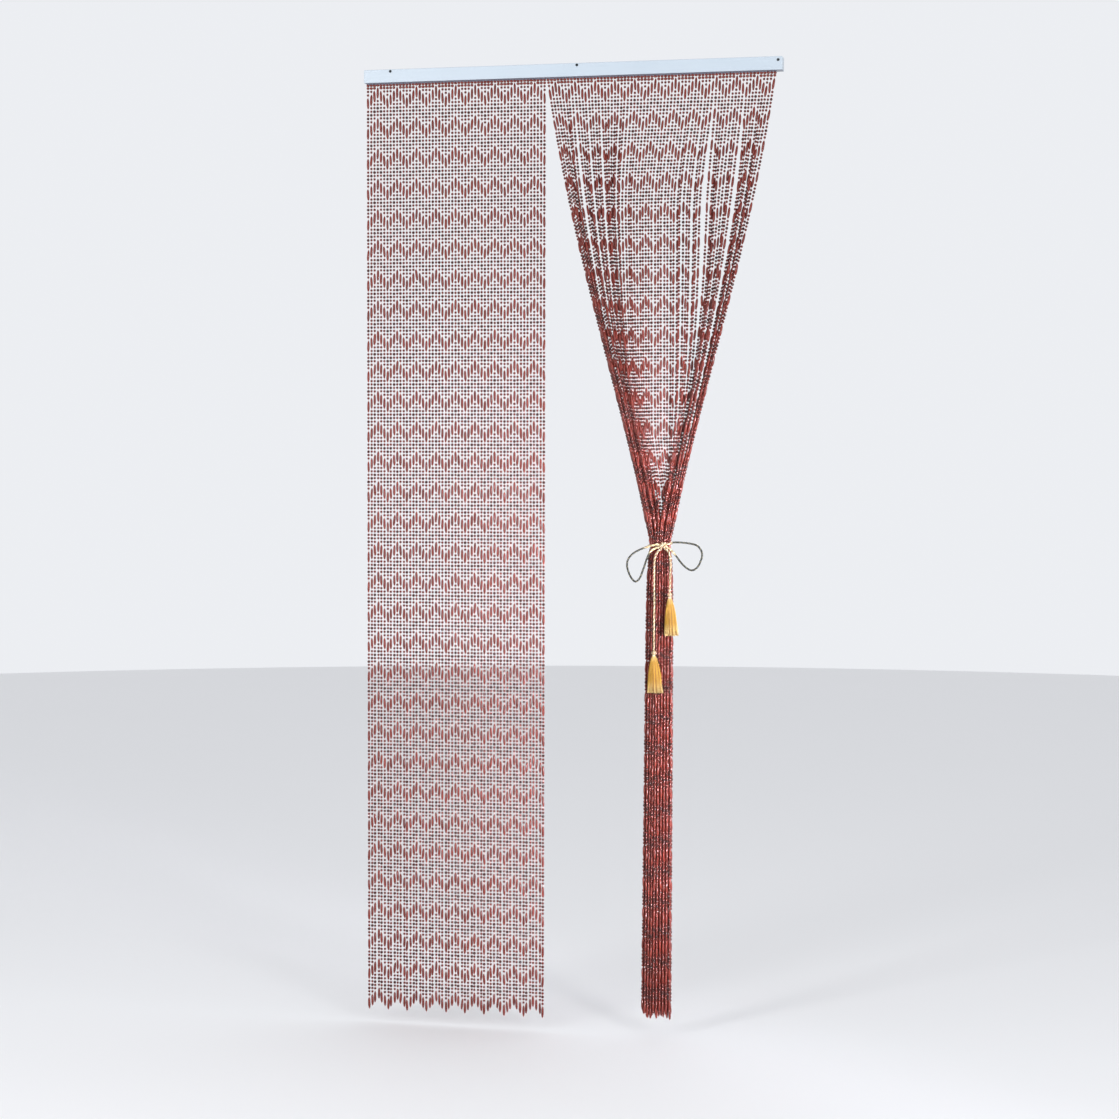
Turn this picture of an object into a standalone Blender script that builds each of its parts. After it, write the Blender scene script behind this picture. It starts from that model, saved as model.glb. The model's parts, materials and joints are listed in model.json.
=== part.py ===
"""Doorway bead curtain on a white rail.

123 bead strings hang from two heading strips in a groove under the rail. The left 55 hang
straight. The other 68 are swept together at half height by a cord tied in a bow, and hang below
it as a round bundle. Each string of beads is one four-sided strand here.

Metres, +Z up, front towards -Y. The origin is the middle of the rail's back face.
"""

import math

import bmesh
import bpy
from mathutils import Vector

MM = 0.001
OBJECT_NAME = "bead_curtain"
GAP = 0.3 * MM

# Rail
RAIL_LENGTH = 900 * MM
RAIL_DEPTH = 28 * MM
RAIL_HEIGHT = 28 * MM
RAIL_EDGE = 1.2 * MM
RAIL_BOTTOM = -RAIL_HEIGHT / 2
GROOVE_WIDTH = 5.6 * MM
GROOVE_HEIGHT = 5.0 * MM
GROOVE_END_WALL = 2.6 * MM

# Screws through the rail's face, each at its own (x, z)
SCREW_PLACES = {
    "screw_left": (-391 * MM, 9.6 * MM),
    "screw_middle": (16.5 * MM, 9.6 * MM),
    "screw_right": (441 * MM, 6.5 * MM),
}
SCREW_HEAD_RADIUS = 2.9 * MM
SCREW_HEAD_HEIGHT = 1.7 * MM
SCREW_SHANK_RADIUS = 1.7 * MM
SCREW_SIDES = 16

# Bead strings: every string is one run of beads, moved up by one round bead from each string to
# the next for three strings, and down again for three, which draws the zigzag.
STRING_COUNT = 123
LEFT_COUNT = 55
RIGHT_COUNT = STRING_COUNT - LEFT_COUNT
STRING_PITCH = 7.2 * MM
FIRST_STRING_X = -444.5 * MM
STRING_Y = -15 * MM
STRAND_RADIUS = 1.8 * MM
ZIGZAG_STRINGS = 6
ZIGZAG_STEP = 7.5 * MM
REPEAT_LENGTH = 65 * MM
REPEATS = 31
LONG_BEAD = 23.3 * MM
LOWEST_LEAD_IN = 30.5 * MM
SWAY_SIDE = 1.0 * MM
SWAY_DEPTH = 1.6 * MM

# Heading strips
STRIP_WIDTH = GROOVE_WIDTH - 2 * GAP
STRIP_HEIGHT = GROOVE_HEIGHT - 2 * GAP
STRIP_OVERHANG = 2.5 * MM
ROOT_DEPTH = 2.6 * MM

# The tied panel: where the tie sits, and the strings' places in the bundle there
TIE_DROP = 984 * MM
BUNDLE_X = 196.9 * MM
BUNDLE_Y = -21.5 * MM
BUNDLE_COLUMNS = 12
COLUMN_PITCH = 3.4 * MM
ROW_PITCH = 4.9 * MM
GATHER_SAG = 0.5
GATHER_CROSSING = 0.88
EDGE_PACKING = 0.6
EDGE_PACKING_POWER = 2.5
DEPTH_POWER = 3.0
PULL_START_MIDDLE = 0.4
PULL_START_EDGE = 0.1
EARLY_BUNCHING = 0.45

# The bundle widens again below the tie
FLARE_LENGTH = 45 * MM
FLARE_WIDTH = 0.38
FLARE_DEPTH = 0.12
SPREAD_WIDTH = 0.17
SPREAD_DEPTH = 0.06
BUNDLE_LEAN = -4.5 * MM

# Where a strand's solid has its points: shares of the way to the tie, then drops below the tie
UPPER_STATIONS = (0.0, 0.16, 0.36, 0.56, 0.71, 0.83, 0.93, 1.0)
LOWER_STATIONS = (45 * MM, 140 * MM)
ROUTE_STEP = 10 * MM

# Tieback cord
CORD_DIAMETER = 3.8 * MM
CORD_RADIUS = CORD_DIAMETER / 2
CORD_STEP = 9 * MM
TIE_Z = RAIL_BOTTOM - TIE_DROP
WRAP_HALF_WIDTH = 24.3 * MM
WRAP_HALF_DEPTH = 21.6 * MM
WRAP_RISE = 2.4 * MM
WRAP_POINTS = 32
KNOT_CENTRE = (207.5 * MM, -48.8 * MM, -998 * MM)
KNOT_RADII = (7.5 * MM, 5.0 * MM, 6.5 * MM)
KNOT_LEAD_OUT = 3 * MM

# Where each cord leaves the knot, as degrees round its front outline from the right
LEG_ANGLES = {
    "bow_loop_left": (172, 208),
    "bow_loop_right": (12, 336),
    "tail_left": (246,),
    "tail_right": (300,),
}

# Hand-chosen points of each cord between its ends, in millimetres (x, y, z)
CORD_ROUTES = {
    "bow_loop_left": (
        (190, -48.2, -997.6),
        (174, -46.5, -1001.8),
        (156, -44.5, -1008.8),
        (142, -43, -1017.2),
        (132.5, -42, -1028.5),
        (130, -42, -1041.5),
        (133, -42, -1055),
        (139.5, -42.5, -1068),
        (148.3, -43, -1075.6),
        (157.5, -43.5, -1068.2),
        (163.5, -44.5, -1053.6),
        (168.3, -45.5, -1040.5),
        (172.8, -46.5, -1027.5),
        (179.5, -47.5, -1013.8),
        (189.5, -48, -1005.2),
    ),
    "bow_loop_right": (
        (228, -47.5, -992.4),
        (245, -46, -992.2),
        (264, -44.5, -994.2),
        (279, -43.5, -998.6),
        (287.6, -43, -1008.6),
        (289.6, -42.5, -1020),
        (286.4, -42.5, -1031.5),
        (281.4, -43, -1041.8),
        (274.2, -43.5, -1048.6),
        (266, -44, -1050.2),
        (256, -45, -1044.6),
        (245.2, -46, -1034),
        (235.6, -47, -1020.8),
        (226, -48.2, -1009.4),
    ),
    "tail_left": (
        (198.2, -47.6, -1009.6),
        (191.6, -46.6, -1019.5),
        (189.2, -46, -1035),
        (188.8, -46, -1075),
        (189.3, -46, -1120),
        (188.8, -46.4, -1170),
        (189, -47.2, -1208),
    ),
    "tail_right": (
        (217.6, -47, -1009.8),
        (222.2, -46.3, -1020),
        (223.6, -46, -1035),
        (223.2, -46, -1060),
        (222.6, -47, -1086),
    ),
}

# Tassels: the top of each one's knot, the middle of its hem, its hem's half width and its length
TASSELS = {
    "tassel_left": {
        "top": (189.0 * MM, -48.4 * MM, -1220.5 * MM),
        "hem": (192.2 * MM, -50.2 * MM),
        "half_width": 17.0 * MM,
        "length": 89 * MM,
    },
    "tassel_right": {
        "top": (222.5 * MM, -48.4 * MM, -1098.5 * MM),
        "hem": (226.2 * MM, -50.2 * MM),
        "half_width": 15.0 * MM,
        "length": 90 * MM,
    },
}
TASSEL_HALF_DEPTH = 6.6 * MM
TASSEL_KNOT_RADIUS = 4.2 * MM
TASSEL_NECK_RADIUS = 2.6 * MM
TASSEL_HEAD_RADIUS = 6.2 * MM
TASSEL_HEAD_LENGTH = 20 * MM
TASSEL_LOCKS = 24
LOCK_ROOT_RADIUS = 0.6 * MM
LOCK_TIP_RADIUS = 1.3 * MM
LOCK_ROOT_SPREAD = 5.0 * MM
LOCK_ROOT_DEPTH = 2 * MM
LOCK_BELLY = 0.24
GOLDEN_ANGLE = math.radians(137.508)


# ---------------------------------------------------------------- scene helpers


def clear_scene():
    """Remove every object, and make the collections for the parts and for the cutters."""
    for item in list(bpy.data.objects):
        bpy.data.objects.remove(item, do_unlink=True)
    made = []
    for name in (OBJECT_NAME, "cutters"):
        collection = bpy.data.collections.new(name)
        bpy.context.scene.collection.children.link(collection)
        made.append(collection)
    return made


def make_material(name, colour, roughness, metallic=0.0):
    """A Principled material of one colour."""
    material = bpy.data.materials.new(name)
    material.use_nodes = True
    shader = material.node_tree.nodes["Principled BSDF"]
    shader.inputs["Base Color"].default_value = (*colour, 1.0)
    shader.inputs["Roughness"].default_value = roughness
    shader.inputs["Metallic"].default_value = metallic
    material.diffuse_color = (*colour, 1.0)
    return material


def add_mesh(name, mesh, collection, material):
    """Put a mesh into the scene as an object of its own."""
    item = bpy.data.objects.new(name, mesh)
    collection.objects.link(item)
    mesh.materials.clear()
    mesh.materials.append(material)
    return item


def box_mesh(name, size, centre):
    """A box primitive of the given size about the given centre."""
    body = bmesh.new()
    bmesh.ops.create_cube(body, size=1.0)
    bmesh.ops.scale(body, vec=size, verts=body.verts)
    bmesh.ops.translate(body, vec=centre, verts=body.verts)
    mesh = bpy.data.meshes.new(name)
    body.to_mesh(mesh)
    body.free()
    return mesh


def add_cutter(name, mesh, collection, material):
    """An object that only shapes others: drawn as wire and never rendered."""
    item = add_mesh(name, mesh, collection, material)
    item.hide_render = True
    item.display_type = "WIRE"
    return item


def add_boolean(item, operand, operation):
    """Cut or join item with operand, exactly."""
    modifier = item.modifiers.new(operand.name, "BOOLEAN")
    modifier.object = operand
    modifier.operation = operation
    modifier.solver = "EXACT"


def tube_curve(name, routes, radius, collection, bevel_resolution, cyclic=False):
    """A curve object with one round tube for each route, a list of (point, relative radius)."""
    curve = bpy.data.curves.new(name, "CURVE")
    curve.dimensions = "3D"
    curve.bevel_depth = radius
    curve.bevel_resolution = bevel_resolution
    curve.use_fill_caps = not cyclic
    curve.twist_mode = "MINIMUM"
    for route in routes:
        spline = curve.splines.new("POLY")
        spline.points.add(len(route) - 1)
        for control, (place, scale) in zip(spline.points, route):
            control.co = (*place, 1.0)
            control.radius = scale
        spline.use_cyclic_u = cyclic
    item = bpy.data.objects.new(name, curve)
    collection.objects.link(item)
    return item


def curve_to_mesh(item):
    """The curve's own mesh with its caps welded on. The curve object is removed."""
    bpy.context.view_layer.update()
    evaluated = item.evaluated_get(bpy.context.evaluated_depsgraph_get())
    mesh = bpy.data.meshes.new_from_object(evaluated)
    body = bmesh.new()
    body.from_mesh(mesh)
    bmesh.ops.remove_doubles(body, verts=body.verts, dist=0.01 * MM)
    body.to_mesh(mesh)
    body.free()
    mesh.transform(item.matrix_world)
    bpy.data.objects.remove(item, do_unlink=True)
    return mesh


def shade_smooth(mesh, angle=40):
    """Smooth shading with the sharp edges kept."""
    mesh.shade_smooth()
    mesh.set_sharp_from_angle(angle=math.radians(angle))


def turned_object(name, profile, sides, collection, material):
    """A solid turned about its own Z axis, from a profile of (radius, z) that runs downwards."""
    mesh = bpy.data.meshes.new(name)
    points = [(radius, 0.0, z) for radius, z in profile]
    mesh.from_pydata(points, [(i, i + 1) for i in range(len(points) - 1)], [])
    item = add_mesh(name, mesh, collection, material)
    screw = item.modifiers.new("turn", "SCREW")
    screw.steps = sides
    screw.render_steps = sides
    screw.use_merge_vertices = True
    screw.merge_threshold = 0.01 * MM
    screw.use_smooth_shade = True
    return item


# ---------------------------------------------------------------- how the strings hang


def scatter(index, salt):
    """An uneven but repeatable value from -1 to 1 for each string."""
    return math.sin(97.3 * index + 31.7 * salt)


def smooth_step(low, high, value):
    """0 below low, 1 above high, and an easy curve between them."""
    share = min(max((value - low) / (high - low), 0.0), 1.0)
    return share * share * (3 - 2 * share)


def string_x(index):
    """Where a string leaves the rail."""
    return FIRST_STRING_X + STRING_PITCH * index


def zigzag_rise(index):
    """How far a string's beads are moved up from the lowest strings' beads."""
    half = ZIGZAG_STRINGS // 2
    return ZIGZAG_STEP * (half - abs(index % ZIGZAG_STRINGS - half))


def string_length(index):
    """From the rail's underside to the foot of the last long bead."""
    first_long = LOWEST_LEAD_IN - zigzag_rise(index)
    return first_long + REPEAT_LENGTH * (REPEATS - 1) + LONG_BEAD


def disc_share(place):
    """The share of a disc's area on the left of a place from -1 to 1 across it."""
    place = min(max(place, -1.0), 1.0)
    return 0.5 + (place * math.sqrt(1 - place * place) + math.asin(place)) / math.pi


def bundle_places():
    """(column, x, y) of each gathered string at the tie, about the bundle's middle.

    The strings fill an oval column by column, to and fro, so that neighbours stay neighbours.
    The columns are staggered by half a row.
    """
    bounds = []
    for column in range(BUNDLE_COLUMNS + 1):
        bounds.append(round(RIGHT_COUNT * disc_share(2 * column / BUNDLE_COLUMNS - 1)))
    places = []
    for column in range(BUNDLE_COLUMNS):
        rows = bounds[column + 1] - bounds[column]
        grid = 0.75 if column % 2 else 0.25
        lowest = -(rows - 1) / 2
        lowest += (grid - lowest + 0.5) % 1 - 0.5
        heights = [(lowest + row) * ROW_PITCH for row in range(rows)]
        if column % 2:
            heights.reverse()
        x = (column - (BUNDLE_COLUMNS - 1) / 2) * COLUMN_PITCH
        places.extend((column, x, y) for y in heights)
    return places


PLACES = bundle_places()
PANEL_HALF_WIDTH = STRING_PITCH * (RIGHT_COUNT - 1) / 2
BUNDLE_HALF_WIDTH = PLACES[-1][1]


def panel_share(number):
    """A gathered string's place across its panel, from -1 to 1."""
    return 2 * number / (RIGHT_COUNT - 1) - 1


def column_share(column):
    """The mean place across the panel of the strings that share a column of the bundle."""
    shares = [panel_share(n) for n, place in enumerate(PLACES) if place[0] == column]
    return sum(shares) / len(shares)


COLUMN_SHARES = [column_share(column) for column in range(BUNDLE_COLUMNS)]


def gathered_across(share, half_width, way):
    """How far from the middle a string is, when the panel's half width has come in so far.

    The middle strings hang straight for longest, so the strings pack closer at the edges.
    """
    ratio = PANEL_HALF_WIDTH / half_width
    even = share * half_width
    packed = share * PANEL_HALF_WIDTH / math.hypot(1, share * ratio) * math.hypot(1, ratio) / ratio
    weight = EDGE_PACKING * (1 - (1 - way) ** EDGE_PACKING_POWER)
    return even + (packed - even) * weight


def above_tie(number, way):
    """A gathered string's place at a share of the way from the rail down to the tie."""
    column, place_x, place_y = PLACES[number]
    closing = way - GATHER_SAG * way * (1 - way) * (GATHER_CROSSING - way)
    half_width = PANEL_HALF_WIDTH + (BUNDLE_HALF_WIDTH - PANEL_HALF_WIDTH) * closing
    lead = COLUMN_SHARES[column]
    free = gathered_across(panel_share(number), half_width, way)
    bunched = gathered_across(lead, half_width, way)
    free += (bunched - free) * EARLY_BUNCHING * lead * lead * smooth_step(0.0, 0.5, way)
    start = PULL_START_MIDDLE + (PULL_START_EDGE - PULL_START_MIDDLE) * abs(lead)
    pull = smooth_step(start, 1.0, way)
    across = free + (place_x * half_width / BUNDLE_HALF_WIDTH - free) * pull
    top_x = string_x(LEFT_COUNT) + PANEL_HALF_WIDTH
    middle_x = top_x + (BUNDLE_X - top_x) * way
    middle_y = STRING_Y + (BUNDLE_Y - STRING_Y) * way
    depth = place_y * (1 - (1 - way) ** DEPTH_POWER)
    return Vector((middle_x + across, middle_y + depth, RAIL_BOTTOM - TIE_DROP * way))


def below_tie(number, drop):
    """A gathered string's place at a drop below the tie."""
    _, place_x, place_y = PLACES[number]
    flare = 1 - math.exp(-drop / FLARE_LENGTH)
    wide = 1 + FLARE_WIDTH * flare + SPREAD_WIDTH * drop
    deep = 1 + FLARE_DEPTH * flare + SPREAD_DEPTH * drop
    lean = BUNDLE_LEAN * drop
    return Vector((BUNDLE_X + lean + place_x * wide, BUNDLE_Y + place_y * deep, TIE_Z - drop))


def gathered_point(number, depth):
    """A gathered string's place at a depth below the rail."""
    if depth <= TIE_DROP:
        return above_tie(number, max(depth, 0.0) / TIE_DROP)
    return below_tie(number, depth - TIE_DROP)


def gathered_end(number):
    """The depth at which a gathered string has used up its length."""
    length = string_length(LEFT_COUNT + number)
    depth = 0.0
    here = gathered_point(number, depth)
    while length > 0:
        step = min(ROUTE_STEP, length)
        below = gathered_point(number, depth + step)
        length -= (below - here).length
        depth += step
        here = below
    return depth + length


def gathered_route(number):
    """The points of a gathered strand's solid."""
    top = gathered_point(number, 0.0)
    route = [top + Vector((0, 0, ROOT_DEPTH))]
    route += [above_tie(number, way) for way in UPPER_STATIONS]
    route += [below_tie(number, drop) for drop in LOWER_STATIONS]
    route.append(gathered_point(number, gathered_end(number)))
    return [(point, 1.0) for point in route]


def straight_route(index):
    """The points of a straight strand's solid, which sways a little towards its foot."""
    length = string_length(index)
    route = [(Vector((string_x(index), STRING_Y, RAIL_BOTTOM + ROOT_DEPTH)), 1.0)]
    for share in (0.5, 1.0):
        side = SWAY_SIDE * scatter(index, 1) * share * share
        depth = SWAY_DEPTH * scatter(index, 2) * share
        point = Vector((string_x(index) + side, STRING_Y + depth, RAIL_BOTTOM - length * share))
        route.append((point, 1.0))
    return route


# ---------------------------------------------------------------- the tieback's cords


def knot_exit(angle):
    """The point just off the knot's outline at an angle round it, and the way straight out."""
    turn = math.radians(angle)
    out = Vector((math.cos(turn), 0.0, math.sin(turn)))
    rim = Vector((KNOT_RADII[0] * out.x, 0.0, KNOT_RADII[2] * out.z))
    way = Vector((out.x / KNOT_RADII[0], 0.0, out.z / KNOT_RADII[2])).normalized()
    return Vector(KNOT_CENTRE) + rim + way * GAP, way


def smooth_through(points, step):
    """Points at even steps along a smooth curve through the given ones."""
    fine = []
    last = len(points) - 1
    for i in range(last):
        before = points[max(i - 1, 0)]
        start, end = points[i], points[i + 1]
        after = points[min(i + 2, last)]
        for part in range(12):
            t = part / 12
            linear = (end - before) * t
            square = (2 * before - 5 * start + 4 * end - after) * t * t
            cube = (3 * start - before - 3 * end + after) * t * t * t
            fine.append(start + (linear + square + cube) * 0.5)
    fine.append(points[-1])
    total = sum((b - a).length for a, b in zip(fine, fine[1:]))
    count = max(2, round(total / step))
    even = [fine[0]]
    travelled = 0.0
    for a, b in zip(fine, fine[1:]):
        length = (b - a).length
        while len(even) < count and travelled + length >= total * len(even) / count:
            share = (total * len(even) / count - travelled) / length
            even.append(a.lerp(b, share))
        travelled += length
    even.append(fine[-1])
    return even


def cord_route(name):
    """A cord's smooth route, from the knot to the knot again or to its tassel."""
    middle = [Vector(point) * MM for point in CORD_ROUTES[name]]
    angles = LEG_ANGLES[name]
    start, out = knot_exit(angles[0])
    lead_out = start + out * KNOT_LEAD_OUT
    if len(angles) == 2:
        end, out = knot_exit(angles[1])
    else:
        tassel = TASSELS[name.replace("tail", "tassel")]
        end, out = Vector(tassel["top"]) + Vector((0, 0, GAP)), Vector((0, 0, 1))
    lead_in = end + out * KNOT_LEAD_OUT
    return [start, *smooth_through([lead_out, *middle, lead_in], CORD_STEP), end]


# ---------------------------------------------------------------- the pieces


def build_rail(parts, cutters, material):
    """The white batten, with the groove underneath and the screws' holes through it."""
    size = (RAIL_LENGTH, RAIL_DEPTH, RAIL_HEIGHT)
    mesh = box_mesh("rail", size, (0, -RAIL_DEPTH / 2, 0))
    rail = add_mesh("rail", mesh, parts, material)
    bevel = rail.modifiers.new("edges", "BEVEL")
    bevel.width = RAIL_EDGE
    bevel.segments = 2
    left = -RAIL_LENGTH / 2 + GROOVE_END_WALL
    right = string_x(STRING_COUNT - 1) + STRIP_OVERHANG + GAP
    groove_size = (right - left, GROOVE_WIDTH, 2 * GROOVE_HEIGHT)
    groove = box_mesh("groove", groove_size, ((left + right) / 2, STRING_Y, RAIL_BOTTOM))
    add_boolean(rail, add_cutter("groove", groove, cutters, material), "DIFFERENCE")
    for name, (x, z) in SCREW_PLACES.items():
        body = bmesh.new()
        bmesh.ops.create_cone(
            body,
            cap_ends=True,
            segments=SCREW_SIDES,
            radius1=SCREW_SHANK_RADIUS + GAP + 0.05 * MM,
            radius2=SCREW_SHANK_RADIUS + GAP + 0.05 * MM,
            depth=RAIL_DEPTH * 2,
        )
        mesh = bpy.data.meshes.new("hole_" + name)
        body.to_mesh(mesh)
        body.free()
        hole = add_cutter("hole_" + name, mesh, cutters, material)
        hole.rotation_euler = (math.radians(90), 0, 0)
        hole.location = (x, -RAIL_DEPTH / 2, z)
        add_boolean(rail, hole, "DIFFERENCE")


def build_screw(name, place, parts, material):
    """A round-headed screw through the rail, its head just off the front face."""
    shank_end = RAIL_DEPTH - GAP
    profile = [
        (0.0, SCREW_HEAD_HEIGHT),
        (SCREW_HEAD_RADIUS * 0.6, SCREW_HEAD_HEIGHT * 0.82),
        (SCREW_HEAD_RADIUS * 0.92, SCREW_HEAD_HEIGHT * 0.4),
        (SCREW_HEAD_RADIUS, 0.0),
        (SCREW_SHANK_RADIUS, 0.0),
        (SCREW_SHANK_RADIUS, -shank_end),
        (0.0, -shank_end),
    ]
    screw = turned_object(name, profile, SCREW_SIDES, parts, material)
    screw.rotation_euler = (math.radians(90), 0, 0)
    screw.location = (place[0], -RAIL_DEPTH - GAP, place[1])


def build_panel(name, first, count, routes, parts, cutters, material):
    """A heading strip in the rail's groove with its strands hanging from it, all one solid."""
    left = string_x(first) - STRIP_OVERHANG
    right = string_x(first + count - 1) + STRIP_OVERHANG
    size = (right - left, STRIP_WIDTH, STRIP_HEIGHT)
    middle = ((left + right) / 2, STRING_Y, RAIL_BOTTOM + GROOVE_HEIGHT / 2)
    strip = add_mesh(name, box_mesh(name, size, middle), parts, material)
    curve = tube_curve("strands_" + name, routes, STRAND_RADIUS, cutters, 0)
    strands = add_cutter("strands_" + name, curve_to_mesh(curve), cutters, material)
    add_boolean(strip, strands, "UNION")


def build_cord(name, route, parts, material, cyclic=False):
    """A plain round cord along its route."""
    curve = tube_curve(name, [[(p, 1.0) for p in route]], CORD_RADIUS, parts, 2, cyclic)
    mesh = curve_to_mesh(curve)
    shade_smooth(mesh)
    add_mesh(name, mesh, parts, material)


def build_wrap(parts, material):
    """The turn of cord round the bundle, a closed oval that rises a little to the right."""
    route = []
    for step in range(WRAP_POINTS):
        turn = 2 * math.pi * step / WRAP_POINTS
        x = BUNDLE_X + WRAP_HALF_WIDTH * math.cos(turn)
        y = BUNDLE_Y + WRAP_HALF_DEPTH * math.sin(turn)
        route.append(Vector((x, y, TIE_Z + WRAP_RISE * math.cos(turn))))
    build_cord("tie_wrap", route, parts, material, cyclic=True)


def build_knot(parts, material):
    """The bow's knot, a tight rounded lump on the front of the wrap."""
    body = bmesh.new()
    bmesh.ops.create_uvsphere(body, u_segments=16, v_segments=10, radius=1.0)
    bmesh.ops.scale(body, vec=KNOT_RADII, verts=body.verts)
    bmesh.ops.translate(body, vec=KNOT_CENTRE, verts=body.verts)
    mesh = bpy.data.meshes.new("bow_knot")
    body.to_mesh(mesh)
    body.free()
    shade_smooth(mesh)
    add_mesh("bow_knot", mesh, parts, material)


def tassel_lock(number, top, tassel):
    """One lock of a tassel's skirt, from inside the head out to the hem."""
    reach = math.sqrt((number + 0.5) / TASSEL_LOCKS)
    turn = GOLDEN_ANGLE * number
    side = reach * math.cos(turn)
    depth = reach * math.sin(turn)
    root_z = -TASSEL_HEAD_LENGTH
    hem_z = -tassel["length"] + 1.5 * MM * (1 + scatter(number, 3))
    hem = Vector((tassel["hem"][0], tassel["hem"][1], 0)) - Vector((top.x, top.y, 0))
    root = Vector((LOCK_ROOT_SPREAD * side, LOCK_ROOT_SPREAD * depth, root_z))
    foot = hem + Vector((tassel["half_width"] * side, TASSEL_HALF_DEPTH * depth, hem_z))
    belly = root.lerp(foot, 0.45) + Vector((LOCK_BELLY * tassel["half_width"] * side, 0, 0))
    widen = LOCK_TIP_RADIUS / LOCK_ROOT_RADIUS
    return [
        (top + root + Vector((0, 0, LOCK_ROOT_DEPTH)), 1.0),
        (top + root, 1.0),
        (top + belly, 1 + (widen - 1) * 0.6),
        (top + foot, widen),
    ]


def build_tassel(name, tassel, parts, cutters, material):
    """A tassel: its knot and bound head turned in one, and the skirt's locks fused into it."""
    top = Vector(tassel["top"])
    knot = TASSEL_KNOT_RADIUS
    profile = [(0.0, 0.0)]
    for angle in (30, 65, 100, 130):
        turn = math.radians(angle)
        profile.append((knot * math.sin(turn), -knot * (1 - math.cos(turn))))
    profile += [
        (TASSEL_NECK_RADIUS, -2 * knot),
        (TASSEL_HEAD_RADIUS * 0.72, -2 * knot - 2.2 * MM),
        (TASSEL_HEAD_RADIUS, -TASSEL_HEAD_LENGTH + 3 * MM),
        (TASSEL_HEAD_RADIUS, -TASSEL_HEAD_LENGTH),
        (0.0, -TASSEL_HEAD_LENGTH),
    ]
    head = turned_object(name, profile, 16, parts, material)
    head.location = top
    routes = [tassel_lock(number, top, tassel) for number in range(TASSEL_LOCKS)]
    curve = tube_curve("locks_" + name, routes, LOCK_ROOT_RADIUS, cutters, 0)
    locks = add_cutter("locks_" + name, curve_to_mesh(curve), cutters, material)
    add_boolean(head, locks, "UNION")


def main():
    """Build every piece of the curtain."""
    parts, cutters = clear_scene()
    white = make_material("painted_batten", (0.80, 0.84, 0.88), 0.45)
    steel = make_material("screw_steel", (0.16, 0.18, 0.20), 0.4, 0.9)
    wood = make_material("stained_beads", (0.24, 0.055, 0.035), 0.35)
    gold_cord = make_material("twisted_cord", (0.62, 0.50, 0.28), 0.6)
    gold_silk = make_material("tassel_yarn", (0.78, 0.50, 0.12), 0.5)

    build_rail(parts, cutters, white)
    for name, place in SCREW_PLACES.items():
        build_screw(name, place, parts, steel)

    straight = [straight_route(index) for index in range(LEFT_COUNT)]
    build_panel("panel_left", 0, LEFT_COUNT, straight, parts, cutters, wood)
    gathered = [gathered_route(number) for number in range(RIGHT_COUNT)]
    build_panel("panel_right", LEFT_COUNT, RIGHT_COUNT, gathered, parts, cutters, wood)

    build_wrap(parts, gold_cord)
    build_knot(parts, gold_cord)
    for name in CORD_ROUTES:
        build_cord(name, cord_route(name), parts, gold_cord)
    for name, tassel in TASSELS.items():
        build_tassel(name, tassel, parts, cutters, gold_silk)


main()
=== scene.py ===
"""Looks of a doorway bead curtain on a white rail.

Turned wooden beads on 123 threads hang from two woven headings in the rail. The left 55 strings
hang straight; the other 68 are swept together at half height by a twisted cord, tied in a bow
with two tasselled tails. Metres, +Z up, front towards -Y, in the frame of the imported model.
"""

from __future__ import annotations

import json
import logging
import math
from dataclasses import dataclass, field
from enum import Enum
from functools import cached_property

import bmesh
import bpy
import numpy as np
from mathutils import Matrix, Vector

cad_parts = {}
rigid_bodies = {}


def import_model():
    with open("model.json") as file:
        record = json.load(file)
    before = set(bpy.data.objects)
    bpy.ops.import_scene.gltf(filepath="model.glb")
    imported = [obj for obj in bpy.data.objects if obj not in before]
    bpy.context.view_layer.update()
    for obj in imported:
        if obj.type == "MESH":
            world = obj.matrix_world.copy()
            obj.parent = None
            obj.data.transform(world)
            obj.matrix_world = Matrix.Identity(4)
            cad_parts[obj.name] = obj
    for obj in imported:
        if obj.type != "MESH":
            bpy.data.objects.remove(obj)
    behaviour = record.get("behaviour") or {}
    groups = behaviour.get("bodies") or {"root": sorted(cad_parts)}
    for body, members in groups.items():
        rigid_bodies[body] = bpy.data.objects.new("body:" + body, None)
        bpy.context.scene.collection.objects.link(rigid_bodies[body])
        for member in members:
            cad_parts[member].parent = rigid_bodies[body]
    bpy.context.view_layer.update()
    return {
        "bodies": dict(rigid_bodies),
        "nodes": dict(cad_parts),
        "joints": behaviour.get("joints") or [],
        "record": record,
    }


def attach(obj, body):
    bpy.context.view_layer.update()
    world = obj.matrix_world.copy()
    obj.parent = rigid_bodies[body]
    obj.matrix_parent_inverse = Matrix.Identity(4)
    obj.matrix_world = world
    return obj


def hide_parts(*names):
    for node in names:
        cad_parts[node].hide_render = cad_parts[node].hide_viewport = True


MM = 0.001
FULL_TURN = 2 * math.pi
BODY = "root"
BAKE_MAP = "OFBake"
FIBRE_MAP = "fibre"

# The colour mixing node's inputs and its output by number, because several share a name
SHARE, AT_ZERO, AT_ONE = 0, 6, 7
MIXED = 2

log = logging.getLogger("bead_curtain")


# ---------------------------------------------------------------- colours, nodes and meshes


def to_linear(hex_colour: str) -> tuple[float, float, float, float]:
    """Turn an sRGB colour into the linear values that a shader takes.

    Args:
        hex_colour: Six hex digits after a hash sign.

    Returns:
        Linear red, green and blue with an alpha of 1.
    """
    digits = hex_colour.lstrip("#")
    shares = [int(digits[i : i + 2], 16) / 255 for i in (0, 2, 4)]
    linear = [s / 12.92 if s <= 0.04045 else ((s + 0.055) / 1.055) ** 2.4 for s in shares]
    return (*linear, 1.0)


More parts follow.
